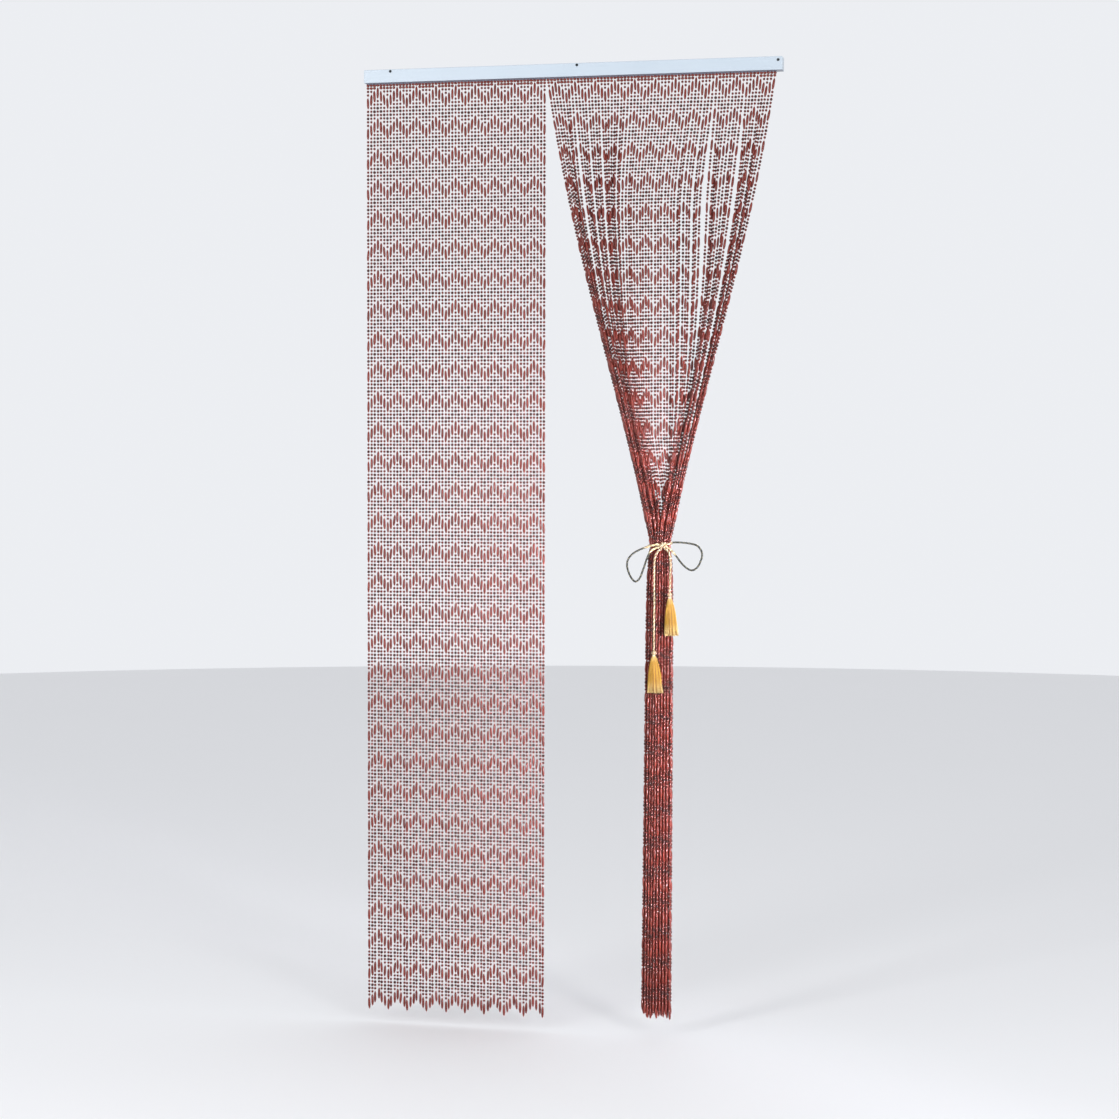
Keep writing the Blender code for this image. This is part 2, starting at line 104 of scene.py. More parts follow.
class Nodes:
    """The node tree of a material or of the world."""

    def __init__(self, owner: bpy.types.Material | bpy.types.World) -> None:
        """Start the owner's tree afresh.

        Args:
            owner: The material or the world.
        """
        owner.use_nodes = True
        self.tree = owner.node_tree
        self.tree.nodes.clear()

    def add(
        self, kind: str, inputs: dict | tuple = (), out: int | str = 0, **settings: object
    ) -> bpy.types.NodeSocket | None:
        """Add one node with its settings, its values and its links.

        Args:
            kind: Blender's name for the node, without its ShaderNode.
            inputs: A value, a hex colour or another node's output for each input, in order or by
                the inputs' names and numbers.
            out: The name or number of the output that is wanted.
            **settings: Values for the node's own properties.

        Returns:
            That output, where the node has any.
        """
        node = self.tree.nodes.new("ShaderNode" + kind)
        for name, value in settings.items():
            setattr(node, name, value)
        for key, value in inputs.items() if isinstance(inputs, dict) else enumerate(inputs):
            if isinstance(value, bpy.types.NodeSocket):
                self.tree.links.new(value, node.inputs[key])
            else:
                value = to_linear(value) if isinstance(value, str) else value
                node.inputs[key].default_value = value
        return node.outputs[out] if node.outputs else None


def ellipse(
    wide: float, deep: float, high: float | np.ndarray, turns: np.ndarray
) -> np.ndarray:
    """Points on an ellipse round the z axis.

    Args:
        wide: The half width.
        deep: The half depth.
        high: The height of them all, or of each.
        turns: The angle of each point.

    Returns:
        The points, in the order of the angles.
    """
    heights = np.broadcast_to(high, len(turns))
    return np.stack([wide * np.cos(turns), deep * np.sin(turns), heights], 1)


@dataclass(frozen=True)
class Form:
    """One small closed shape, to be repeated many times in a joined mesh.

    Attributes:
        points: Its vertices, one row each.
        corners: The vertex at each face corner, face after face.
        sizes: How many corners each face has.
        chart: Each corner's place in the form's own square of the bake map.
    """

    points: np.ndarray
    corners: np.ndarray
    sizes: np.ndarray
    chart: np.ndarray

    @classmethod
    def from_rings(cls, rings: int, sides: int) -> Form:
        """Lay out the faces of a tube of rings that runs together in a pole at each end.

        Args:
            rings: How many rings it has, the poles not counted.
            sides: How many points each ring has.

        Returns:
            A form whose points are all at the origin, in the order top pole, rings, foot pole.
        """
        corners, sizes, chart = [], [], []
        rows = rings + 1
        last = 1 + (rings - 1) * sides
        for side in range(sides):
            after = (side + 1) % sides
            left, right = side / sides, (side + 1) / sides
            middle = (left + right) / 2
            corners += [0, 1 + side, 1 + after]
            chart += [(middle, 1.0), (left, 1 - 1 / rows), (right, 1 - 1 / rows)]
            for ring in range(rings - 1):
                here = 1 + ring * sides
                below = here + sides
                top, foot = 1 - (ring + 1) / rows, 1 - (ring + 2) / rows
                corners += [here + side, below + side, below + after, here + after]
                chart += [(left, top), (left, foot), (right, foot), (right, top)]
            corners += [last + side, last + sides, last + after]
            chart += [(left, 1 / rows), (middle, 0.0), (right, 1 / rows)]
            sizes += [3] + [4] * (rings - 1) + [3]
        points = np.zeros((rings * sides + 2, 3))
        return cls(points, np.array(corners), np.array(sizes), np.array(chart))

    def fibres(self, repeats: float) -> np.ndarray:
        """The form's chart stretched along it, for a yarn whose fibres repeat so often."""
        return self.chart * np.array([1.0, repeats])


@dataclass
class JoinedMesh:
    """Many small forms gathered into one mesh, each with its own tone and its own bit of map."""

    name: str
    points: list[np.ndarray] = field(default_factory=list)
    corners: list[np.ndarray] = field(default_factory=list)
    sizes: list[np.ndarray] = field(default_factory=list)
    charts: list[np.ndarray] = field(default_factory=list)
    fibres: list[np.ndarray] = field(default_factory=list)
    slots: list[np.ndarray] = field(default_factory=list)
    tones: list[np.ndarray] = field(default_factory=list)
    point_count: int = 0
    margin: float = 0.06

    def add(
        self,
        form: Form,
        copies: np.ndarray,
        tones: float | np.ndarray,
        slot: int = 0,
        fibre: np.ndarray | None = None,
    ) -> None:
        """Add one copy of a form, or many.

        Args:
            form: The faces of one copy.
            copies: The points of one copy, or of many as copies by points by 3.
            tones: A value from 0 to 1 for each copy, or one for all.
            slot: The material's number in the mesh.
            fibre: Each corner's place on the fibre map, where a finish reads one.
        """
        if copies.ndim == 2:
            copies = copies[None]
        count, size = copies.shape[:2]
        start = self.point_count + np.arange(count)[:, None] * size
        self.points.append(copies.reshape(-1, 3))
        self.corners.append((form.corners[None, :] + start).ravel())
        self.sizes.append(np.tile(form.sizes, count))
        self.charts.append(np.tile(form.chart, (count, 1, 1)))
        self.fibres.append(np.tile(form.chart if fibre is None else fibre, (count, 1)))
        self.slots.append(np.full(count * len(form.sizes), slot))
        self.tones.append(np.repeat(np.broadcast_to(tones, count), size))
        self.point_count += count * size

    def bake_places(self) -> np.ndarray:
        """Give each copy its own square of the bake map, inside a margin.

        Returns:
            Each corner's place on the map.
        """
        side = math.ceil(math.sqrt(sum(len(chart) for chart in self.charts)))
        placed, cell = [], 0
        for chart in self.charts:
            cells = cell + np.arange(len(chart))
            corner = np.stack([cells % side, cells // side], 1)[:, None, :]
            inside = corner + self.margin + chart * (1 - 2 * self.margin)
            placed.append((inside / side).reshape(-1, 2))
            cell += len(chart)
        return np.concatenate(placed)

    def build(self, materials: list[bpy.types.Material]) -> bpy.types.Object:
        """Make the smooth mesh and its object.

        Args:
            materials: The materials, in the order of their slot numbers.

        Returns:
            The new object, already in the scene.
        """
        points, corners, sizes, slots, fibres, tones = (
            np.concatenate(rows)
            for rows in (
                self.points,
                self.corners,
                self.sizes,
                self.slots,
                self.fibres,
                self.tones,
            )
        )
        mesh = bpy.data.meshes.new(self.name)
        mesh.vertices.add(len(points))
        mesh.vertices.foreach_set("co", points.astype(np.float32).ravel())
        mesh.loops.add(len(corners))
        mesh.loops.foreach_set("vertex_index", corners.astype(np.int32))
        mesh.polygons.add(len(sizes))
        starts = np.concatenate([[0], np.cumsum(sizes)[:-1]])
        mesh.polygons.foreach_set("loop_start", starts.astype(np.int32))
        mesh.polygons.foreach_set("material_index", slots.astype(np.int32))
        mesh.update(calc_edges=True)
        for name, places in ((BAKE_MAP, self.bake_places()), (FIBRE_MAP, fibres)):
            layer = mesh.uv_layers.new(name=name, do_init=False)
            layer.uv.foreach_set("vector", places.astype(np.float32).ravel())
        tone = mesh.attributes.new("tone", "FLOAT", "POINT")
        tone.data.foreach_set("value", tones.astype(np.float32))
        mesh.shade_smooth()
        for material in materials:
            mesh.materials.append(material)
        mesh.validate()
        return add_object(mesh)


def mesh_from(body: bmesh.types.BMesh, name: str) -> bpy.types.Mesh:
    """Turn a finished edit mesh into a mesh.

    Args:
        body: The edit mesh, which is freed.
        name: The mesh's name.

    Returns:
        The mesh.
    """
    mesh = bpy.data.meshes.new(name)
    body.to_mesh(mesh)
    body.free()
    return mesh


def add_object(mesh: bpy.types.Mesh) -> bpy.types.Object:
    """Put a mesh into the scene under its own name.

    Args:
        mesh: The finished mesh.

    Returns:
        Its new object.
    """
    item = bpy.data.objects.new(mesh.name, mesh)
    bpy.context.scene.collection.objects.link(item)
    return item


def hand_over(piece: bpy.types.Object, nodes: tuple[str, ...] = ()) -> None:
    """Fix a piece to the curtain, and hide the solids that it stands for.

    Args:
        piece: The finished piece.
        nodes: The solids that it replaces.
    """
    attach(piece, BODY)
    if nodes:
        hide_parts(*nodes)
    triangles = len(piece.data.loops) - 2 * len(piece.data.polygons)
    log.info("%s: %d triangles", piece.name, triangles)


# ---------------------------------------------------------------- finishes


@dataclass(frozen=True)
class Finish:
    """One finish of the curtain, whose subclasses say what the shader is given."""

    name: str

    def surface(self, nodes: Nodes) -> dict[str, object]:
        """Add the finish's own nodes.

        Args:
            nodes: The material's nodes.

        Returns:
            The Principled shader's inputs by name.
        """
        raise NotImplementedError

    def build(self) -> bpy.types.Material:
        """Make the material.

        Returns:
            The material.
        """
        material = bpy.data.materials.new(self.name)
        nodes = Nodes(material)
        shader = nodes.add("BsdfPrincipled", self.surface(nodes))
        nodes.add("OutputMaterial", {"Surface": shader})
        return material


@dataclass(frozen=True)
class LacqueredBeech(Finish):
    """Turned beech, dipped in spirit stain and tumbled in clear lacquer.

    The stain soaks in unevenly, so no two beads have the same tone, the grain shows as fine
    darker streaks along the bore, and the lacquer gives a soft glint on top.

    Attributes:
        light: The stain on the lightest bead.
        dark: The stain on the darkest bead.
        streak: The stain in the grain.
        grain_span: The noise values between which the grain darkens.
        streak_share: How much of the streaks' colour the darkest grain has.
        seed_spread: How far apart two beads' grain lies in the noise.
        rough_span: The roughness of the dense and of the open grain.
    """

    light: str
    dark: str
    streak: str
    grain_width_mm: float = 0.5
    grain_length_mm: float = 6.0
    grain_span: tuple[float, float] = (0.45, 0.7)
    streak_share: float = 0.65
    seed_spread: float = 40.0
    pore_strength: float = 0.35
    pore_depth: float = 0.08 * MM
    rough_span: tuple[float, float] = (0.34, 0.54)
    lacquer_ior: float = 1.5
    specular: float = 0.1
    lacquer: float = 0.5
    lacquer_roughness: float = 0.16

    def surface(self, nodes: Nodes) -> dict[str, object]:
        """Add the finish's own nodes.

        Args:
            nodes: The material's nodes.

        Returns:
            The Principled shader's inputs by name.
        """
        place = nodes.add("TexCoord", out="Object")
        across = 1 / (self.grain_width_mm * MM)
        along = 1 / (self.grain_length_mm * MM)
        scaled = nodes.add("Mapping", {"Vector": place, "Scale": (across, across, along)})
        tone = nodes.add("Attribute", out="Fac", attribute_name="tone")
        seed = nodes.add("Math", (tone, self.seed_spread), operation="MULTIPLY")
        noise = {"Vector": scaled, "W": seed, "Scale": 1.0, "Detail": 3.0, "Roughness": 0.6}
        grain = nodes.add("TexNoise", noise, noise_dimensions="4D")
        stains = {SHARE: tone, AT_ZERO: self.dark, AT_ONE: self.light}
        stain = nodes.add("Mix", stains, MIXED, data_type="RGBA")
        streaks = nodes.add("MapRange", (grain, *self.grain_span, 0.0, self.streak_share))
        colours = {SHARE: streaks, AT_ZERO: stain, AT_ONE: self.streak}
        pores = {"Height": grain, "Strength": self.pore_strength, "Distance": self.pore_depth}
        return {
            "Base Color": nodes.add("Mix", colours, MIXED, data_type="RGBA"),
            "Roughness": nodes.add("MapRange", (grain, 0.3, 0.8, *self.rough_span)),
            "IOR": self.lacquer_ior,
            "Specular IOR Level": self.specular,
            "Coat Weight": self.lacquer,
            "Coat Roughness": self.lacquer_roughness,
            "Normal": nodes.add("Bump", pores),
        }


@dataclass(frozen=True)
class WaxedThread(Finish):
    """Spun polyester thread with a little wax: matt, with the twist as fine diagonal ribs, painted
    darker in their grooves as painted shade. Its light pink is partly its own colour and partly
    painted highlight, for the pink glints between the bundle's beads.
    """

    name: str = "waxed_polyester_thread"
    # The light pink is partly painted highlight: it shows as the glint lines between the bundle's
    # beads
    colour: str = "#DE9A92"
    shade: str = "#C27670"
    twist_mm: float = 1.2
    rib_depth: float = 0.08 * MM
    rough_span: tuple[float, float] = (0.62, 0.5)

    def surface(self, nodes: Nodes) -> dict[str, object]:
        """Add the finish's own nodes.

        Args:
            nodes: The material's nodes.

        Returns:
            The Principled shader's inputs by name.
        """
        place = nodes.add("TexCoord", out="Object")
        scale = 0.5 / (self.twist_mm * MM) / math.pi
        twist = {"Vector": place, "Scale": scale, "Distortion": 0.6, "Detail": 1.0}
        wave = nodes.add("TexWave", twist, "Fac", bands_direction="DIAGONAL")
        ribs = {"Height": wave, "Strength": 0.4, "Distance": self.rib_depth}
        # Lighter on the ribs and darker in the grooves: painted shade along the twist
        colours = {SHARE: wave, AT_ZERO: self.shade, AT_ONE: self.colour}
        return {
            "Base Color": nodes.add("Mix", colours, MIXED, data_type="RGBA"),
            "Roughness": nodes.add("MapRange", (wave, 0.0, 1.0, *self.rough_span)),
            "Normal": nodes.add("Bump", ribs),
        }


@dataclass(frozen=True)
class WovenTape(Finish):
    """Plain-woven cotton tape: matt, with a thread every 0.9 mm both ways. Its slate grey is
    painted shade for the shadow line under the rail, darker still where the weave lies low.
    """

    name: str = "woven_cotton_tape"
    # Both greys are painted shade: the shadow under the rail, and the darker one the weave's low
    # places
    shade_grey: str = "#8C8C99"
    recess_shade_grey: str = "#666572"
    thread_mm: float = 0.9
    weave_depth: float = 0.2 * MM
    rough_span: tuple[float, float] = (0.9, 0.75)

    def surface(self, nodes: Nodes) -> dict[str, object]:
        """Add the finish's own nodes.

        Args:
            nodes: The material's nodes.

        Returns:
            The Principled shader's inputs by name.
        """
        place = nodes.add("TexCoord", out="Object")
        scale = 0.5 / (self.thread_mm * MM) / math.pi
        threads = {"Vector": place, "Scale": scale, "Distortion": 0.3}
        ribs = tuple(nodes.add("TexWave", threads, "Fac", bands_direction=way) for way in "XY")
        weave = nodes.add("Math", ribs, operation="MULTIPLY")
        relief = {"Height": weave, "Strength": 0.6, "Distance": self.weave_depth}
        # Darker where the weave lies low: painted shade in its hollows
        colours = {SHARE: weave, AT_ZERO: self.recess_shade_grey, AT_ONE: self.shade_grey}
        return {
            "Base Color": nodes.add("Mix", colours, MIXED, data_type="RGBA"),
            "Roughness": nodes.add("MapRange", (weave, 0.0, 1.0, *self.rough_span)),
            "Sheen Weight": 0.2,
            "Normal": nodes.add("Bump", relief),
        }


@dataclass(frozen=True)
class SatinPaint(Finish):
    """Brushed-on white satin paint over planed pine.

    The eye sees a cool white with faint lengthwise brush lines and a soft, wide gloss. The
    underside is painted slate grey: painted shade for the shadow that falls under the rail.

    Attributes:
        cloud_scale: How many cloudy patches of thinner paint there are in a metre.
        shade_span: How far a face has to look down to take the painted shade.
    """

    name: str = "white_satin_paint"
    white: str = "#B6C1CB"
    milky: str = "#A9B5C0"
    # Slate grey painted shade for the faces that look down
    underside_shade: str = "#7C8290"
    brush_line_mm: float = 0.8
    brush_stroke_mm: float = 90.0
    brush_depth: float = 0.15 * MM
    cloud_scale: float = 9.0
    shade_span: tuple[float, float] = (-0.75, -0.95)
    rough_span: tuple[float, float] = (0.3, 0.42)

    def surface(self, nodes: Nodes) -> dict[str, object]:
        """Add the finish's own nodes.

        Args:
            nodes: The material's nodes.

        Returns:
            The Principled shader's inputs by name.
        """
        place = nodes.add("TexCoord", out="Object")
        line = 1 / (self.brush_line_mm * MM)
        stroke = 1 / (self.brush_stroke_mm * MM)
        brushed = nodes.add("Mapping", {"Vector": place, "Scale": (stroke, line, line)})
        strokes = {"Vector": brushed, "Scale": 1.0, "Detail": 4.0, "Roughness": 0.55}
        lines = nodes.add("TexNoise", strokes)
        clouds = {"Vector": place, "Scale": self.cloud_scale, "Detail": 2.0}
        cloudy = nodes.add("TexNoise", clouds)
        marks = nodes.add("MapRange", (lines, 0.3, 0.7, 0.0, 1.0))
        tint = nodes.add("Math", (marks, cloudy), operation="MULTIPLY")
        whites = {SHARE: tint, AT_ZERO: self.white, AT_ONE: self.milky}
        paint = nodes.add("Mix", whites, MIXED, data_type="RGBA")
        facing = nodes.add("NewGeometry", out="Normal")
        upright = nodes.add("SeparateXYZ", (facing,), "Z")
        # Faces that look down turn slate grey: painted shade for the shadow under the rail
        painted_shade = nodes.add("MapRange", (upright, *self.shade_span, 0.0, 1.0))
        relief = {"Height": lines, "Strength": 0.25, "Distance": self.brush_depth}
        colours = {SHARE: painted_shade, AT_ZERO: paint, AT_ONE: self.underside_shade}
        return {
            "Base Color": nodes.add("Mix", colours, MIXED, data_type="RGBA"),
            "Roughness": nodes.add("MapRange", (lines, 0.25, 0.75, *self.rough_span)),
            "Coat Weight": 0.15,
            "Coat Roughness": 0.3,
            "Normal": nodes.add("Bump", relief),
        }


@dataclass(frozen=True)
class BlackedSteel(Finish):
    """Oil-blacked mild steel: dark, half dull, with brighter metal where a driver has rubbed."""

    name: str = "oil_blacked_steel"
    black: str = "#2B2E31"
    rubbed: str = "#6C6F72"
    grit_mm: float = 0.35
    grit_depth: float = 0.05 * MM
    worn_span: tuple[float, float] = (0.55, 0.75)
    rough_span: tuple[float, float] = (0.5, 0.32)

    def surface(self, nodes: Nodes) -> dict[str, object]:
        """Add the finish's own nodes.

        Args:
            nodes: The material's nodes.

        Returns:
            The Principled shader's inputs by name.
        """
        place = nodes.add("TexCoord", out="Object")
        grains = {"Vector": place, "Scale": 1 / (self.grit_mm * MM), "Detail": 3.0}
        grit = nodes.add("TexNoise", grains)
        worn = nodes.add("MapRange", (grit, *self.worn_span, 0.0, 1.0))
        relief = {"Height": grit, "Strength": 0.2, "Distance": self.grit_depth}
        colours = {SHARE: worn, AT_ZERO: self.black, AT_ONE: self.rubbed}
        return {
            "Base Color": nodes.add("Mix", colours, MIXED, data_type="RGBA"),
            "Metallic": 0.9,
            "Roughness": nodes.add("MapRange", (grit, 0.3, 0.7, *self.rough_span)),
            "Normal": nodes.add("Bump", relief),
        }


@dataclass(frozen=True)
class ViscoseYarn(Finish):
    """Spun viscose, the silky yarn of tiebacks and tassels.

    Its long straight fibres show as fine streaks along the yarn, brighter where they catch the
    light, under a soft sheen. The streaks are drawn about 0.25 mm wide so that they show.

    Attributes:
        light: The fibres that catch the light.
        dark: The fibres between them.
        fibres_round: How many fibres lie round a yarn.
        fibre_length: How often they begin afresh in a repeat of the fibre map.
        tone_share: How much of the colour comes from the yarn's own tone.
        tips: The colour of the paler ends, if it has them.
        tip_start: Where the foot's fade begins on the fibre map, from the foot up.
        tip_length: How far that fade runs.
        tip_shares: How much of the tips' colour the darkest and the lightest yarn take.
        neck_start: Where the fade at the other end begins, from the foot up.
        neck_length: How far that fade runs.
        neck_share: How much of the tips' colour that end takes.
    """

    light: str
    dark: str
    fibres_round: float = 14.0
    fibre_length: float = 3.0
    roughness: float = 0.5
    sheen: float = 0.3
    tone_share: float = 0.35
    tips: str = ""
    tip_start: float = 1.5
    tip_length: float = 3.4
    tip_shares: tuple[float, float] = (0.1, 0.8)
    neck_start: float = 10.5
    neck_length: float = 3.0
    neck_share: float = 0.6
    seed_spread: float = 25.0
    fibre_depth: float = 0.1 * MM

    def faded(
        self, nodes: Nodes, colour: bpy.types.NodeSocket, chart: object, tone: object
    ) -> bpy.types.NodeSocket:
        """Fade the yarn's colour to the tips' at its ends.

        Args:
            nodes: The material's nodes.
            colour: The yarn's colour.
            chart: Its place on the fibre map.
            tone: The yarn's tone.

        Returns:
            The faded colour.
        """
        along = nodes.add("SeparateXYZ", (chart,), "Y")
        tip = (self.tip_start, self.tip_start + self.tip_length, 1.0, 0.0)
        neck = (self.neck_start, self.neck_start + self.neck_length, 0.0, self.neck_share)
        foot = nodes.add("MapRange", (along, *tip))
        taken = nodes.add("MapRange", (tone, 0.35, 0.75, *self.tip_shares))
        foot = nodes.add("Math", (foot, taken), operation="MULTIPLY")
        pale = nodes.add("Math", (foot, nodes.add("MapRange", (along, *neck))), operation="ADD")
        colours = {SHARE: pale, AT_ZERO: colour, AT_ONE: self.tips}
        return nodes.add("Mix", colours, MIXED, data_type="RGBA")

    def surface(self, nodes: Nodes) -> dict[str, object]:
        """Add the finish's own nodes.

        Args:
            nodes: The material's nodes.

        Returns:
            The Principled shader's inputs by name.
        """
        chart = nodes.add("UVMap", uv_map=FIBRE_MAP)
        tone = nodes.add("Attribute", out="Fac", attribute_name="tone")
        size = (self.fibres_round, self.fibre_length, 1.0)
        scaled = nodes.add("Mapping", {"Vector": chart, "Scale": size})
        seed = nodes.add("Math", (tone, self.seed_spread), operation="MULTIPLY")
        noise = {"Vector": scaled, "W": seed, "Scale": 1.0, "Detail": 2.0, "Roughness": 0.6}
        fibres = nodes.add("TexNoise", noise, noise_dimensions="4D")
        streaks = nodes.add("MapRange", (fibres, 0.3, 0.7, 0.0, 1.0 - self.tone_share))
        own = nodes.add("Math", (tone, self.tone_share), operation="MULTIPLY")
        share = nodes.add("Math", (streaks, own), operation="ADD")
        fibre_colours = {SHARE: share, AT_ZERO: self.dark, AT_ONE: self.light}
        colour = nodes.add("Mix", fibre_colours, MIXED, data_type="RGBA")
        if self.tips:
            colour = self.faded(nodes, colour, chart, tone)
        rough = (self.roughness + 0.1, self.roughness - 0.1)
        relief = {"Height": fibres, "Strength": 0.5, "Distance": self.fibre_depth}
        return {
            "Base Color": colour,
            "Roughness": nodes.add("MapRange", (fibres, 0.3, 0.7, *rough)),
            "Sheen Weight": self.sheen,
            "Sheen Roughness": 0.4,
            "Normal": nodes.add("Bump", relief),
        }


@dataclass(frozen=True)
class PaleFloor(Finish):
    """A plain matt studio floor."""

    name: str = "pale_floor"
    colour: str = "#EFEFF0"

    def surface(self, nodes: Nodes) -> dict[str, object]:
        """Add the finish's own nodes.

        Args:
            nodes: The material's nodes.

        Returns:
            The Principled shader's inputs by name.
        """
        place = nodes.add("TexCoord", out="Object")
        cloudy = nodes.add("TexNoise", {"Vector": place, "Scale": 1.2, "Detail": 2.0})
        rough = nodes.add("MapRange", (cloudy, 0.3, 0.7, 0.7, 0.8))
        return {"Base Color": self.colour, "Roughness": rough}


# ---------------------------------------------------------------- how the strings hang


class BeadKind(Enum):
    """The beads on a string, by the number of their stain."""

    LONG = 0
    LARGE = 1
    SMALL = 2
    HEADER = 3


@dataclass(frozen=True)
class Bead:
    """One turned bead, closed at its bore, where the thread fills it.

    Attributes:
        length: Along the bore.
        diameter: At its widest.
        sides: Faces round it.
        profile: Shares of the length from the top, and of the half diameter there.
    """

    length: float
    diameter: float
    sides: int
    profile: tuple[tuple[float, float], ...]

    def form(self) -> Form:
        """Turn the profile into a closed form about the bore, its middle at the origin.

        Returns:
            The form.
        """
        layout = Form.from_rings(len(self.profile), self.sides)
        turns = FULL_TURN * np.arange(self.sides) / self.sides
        rings = []
        for down, width in self.profile:
            radius = width * self.diameter / 2
            rings.append(ellipse(radius, radius, (0.5 - down) * self.length, turns))
        top = np.array([[0.0, 0.0, self.length / 2]])
        points = np.concatenate([top, *rings, -top])
        return Form(points, layout.corners, layout.sizes, layout.chart)


BEADS = {
    BeadKind.LONG: Bead(
        23.3 * MM, 5.5 * MM, 7, ((0.02, 0.5), (0.2, 0.9), (0.7, 1.0), (0.97, 0.62))
    ),
    BeadKind.LARGE: Bead(6.0 * MM, 6.6 * MM, 8, ((0.1, 0.66), (0.5, 1.0), (0.9, 0.66))),
    BeadKind.SMALL: Bead(5.4 * MM, 5.3 * MM, 7, ((0.2, 0.95), (0.8, 0.95))),
    BeadKind.HEADER: Bead(5.8 * MM, 7.0 * MM, 8, ((0.12, 0.8), (0.5, 1.0), (0.88, 0.8))),
}

# The repeat on every string: each bead's middle, from the top of the long bead
MOTIF = (
    (BeadKind.LONG, 11.65 * MM),
    (BeadKind.SMALL, 28.6 * MM),
    (BeadKind.SMALL, 36.0 * MM),
    (BeadKind.LARGE, 43.8 * MM),
    (BeadKind.SMALL, 51.1 * MM),
    (BeadKind.SMALL, 58.5 * MM),
)


@dataclass(frozen=True)
class Path:
    """A line through space, read by the length travelled along it."""

    points: np.ndarray
    travelled: np.ndarray
    probe: float = 1.5 * MM

    @classmethod
    def through(cls, points: np.ndarray) -> Path:
        """Measure a row of points."""
        steps = np.linalg.norm(np.diff(points, axis=0), axis=1)
        return cls(points, np.concatenate([[0.0], np.cumsum(steps)]))

    def at(self, lengths: np.ndarray) -> np.ndarray:
        """Find points along the line, which goes on straight past its end.

        Args:
            lengths: How far along the line each one is.

        Returns:
            The points.
        """
        found = [np.interp(lengths, self.travelled, self.points[:, axis]) for axis in range(3)]
        past = np.maximum(lengths - self.travelled[-1], 0.0)
        onward = self.points[-1] - self.points[-2]
        onward = onward / np.linalg.norm(onward)
        return np.stack(found, 1) + past[:, None] * onward

    def heading(self, lengths: np.ndarray) -> np.ndarray:
        """The unit direction of travel at these lengths."""
        way = self.at(lengths + self.probe) - self.at(np.maximum(lengths - self.probe, 0.0))
        return way / np.linalg.norm(way, axis=1, keepdims=True)


def smooth_step(low: float, high: float, value: np.ndarray) -> np.ndarray:
    """0 below low, 1 above high, and an easy curve between them."""
    share = np.clip((value - low) / (high - low), 0.0, 1.0)
    return share * share * (3 - 2 * share)


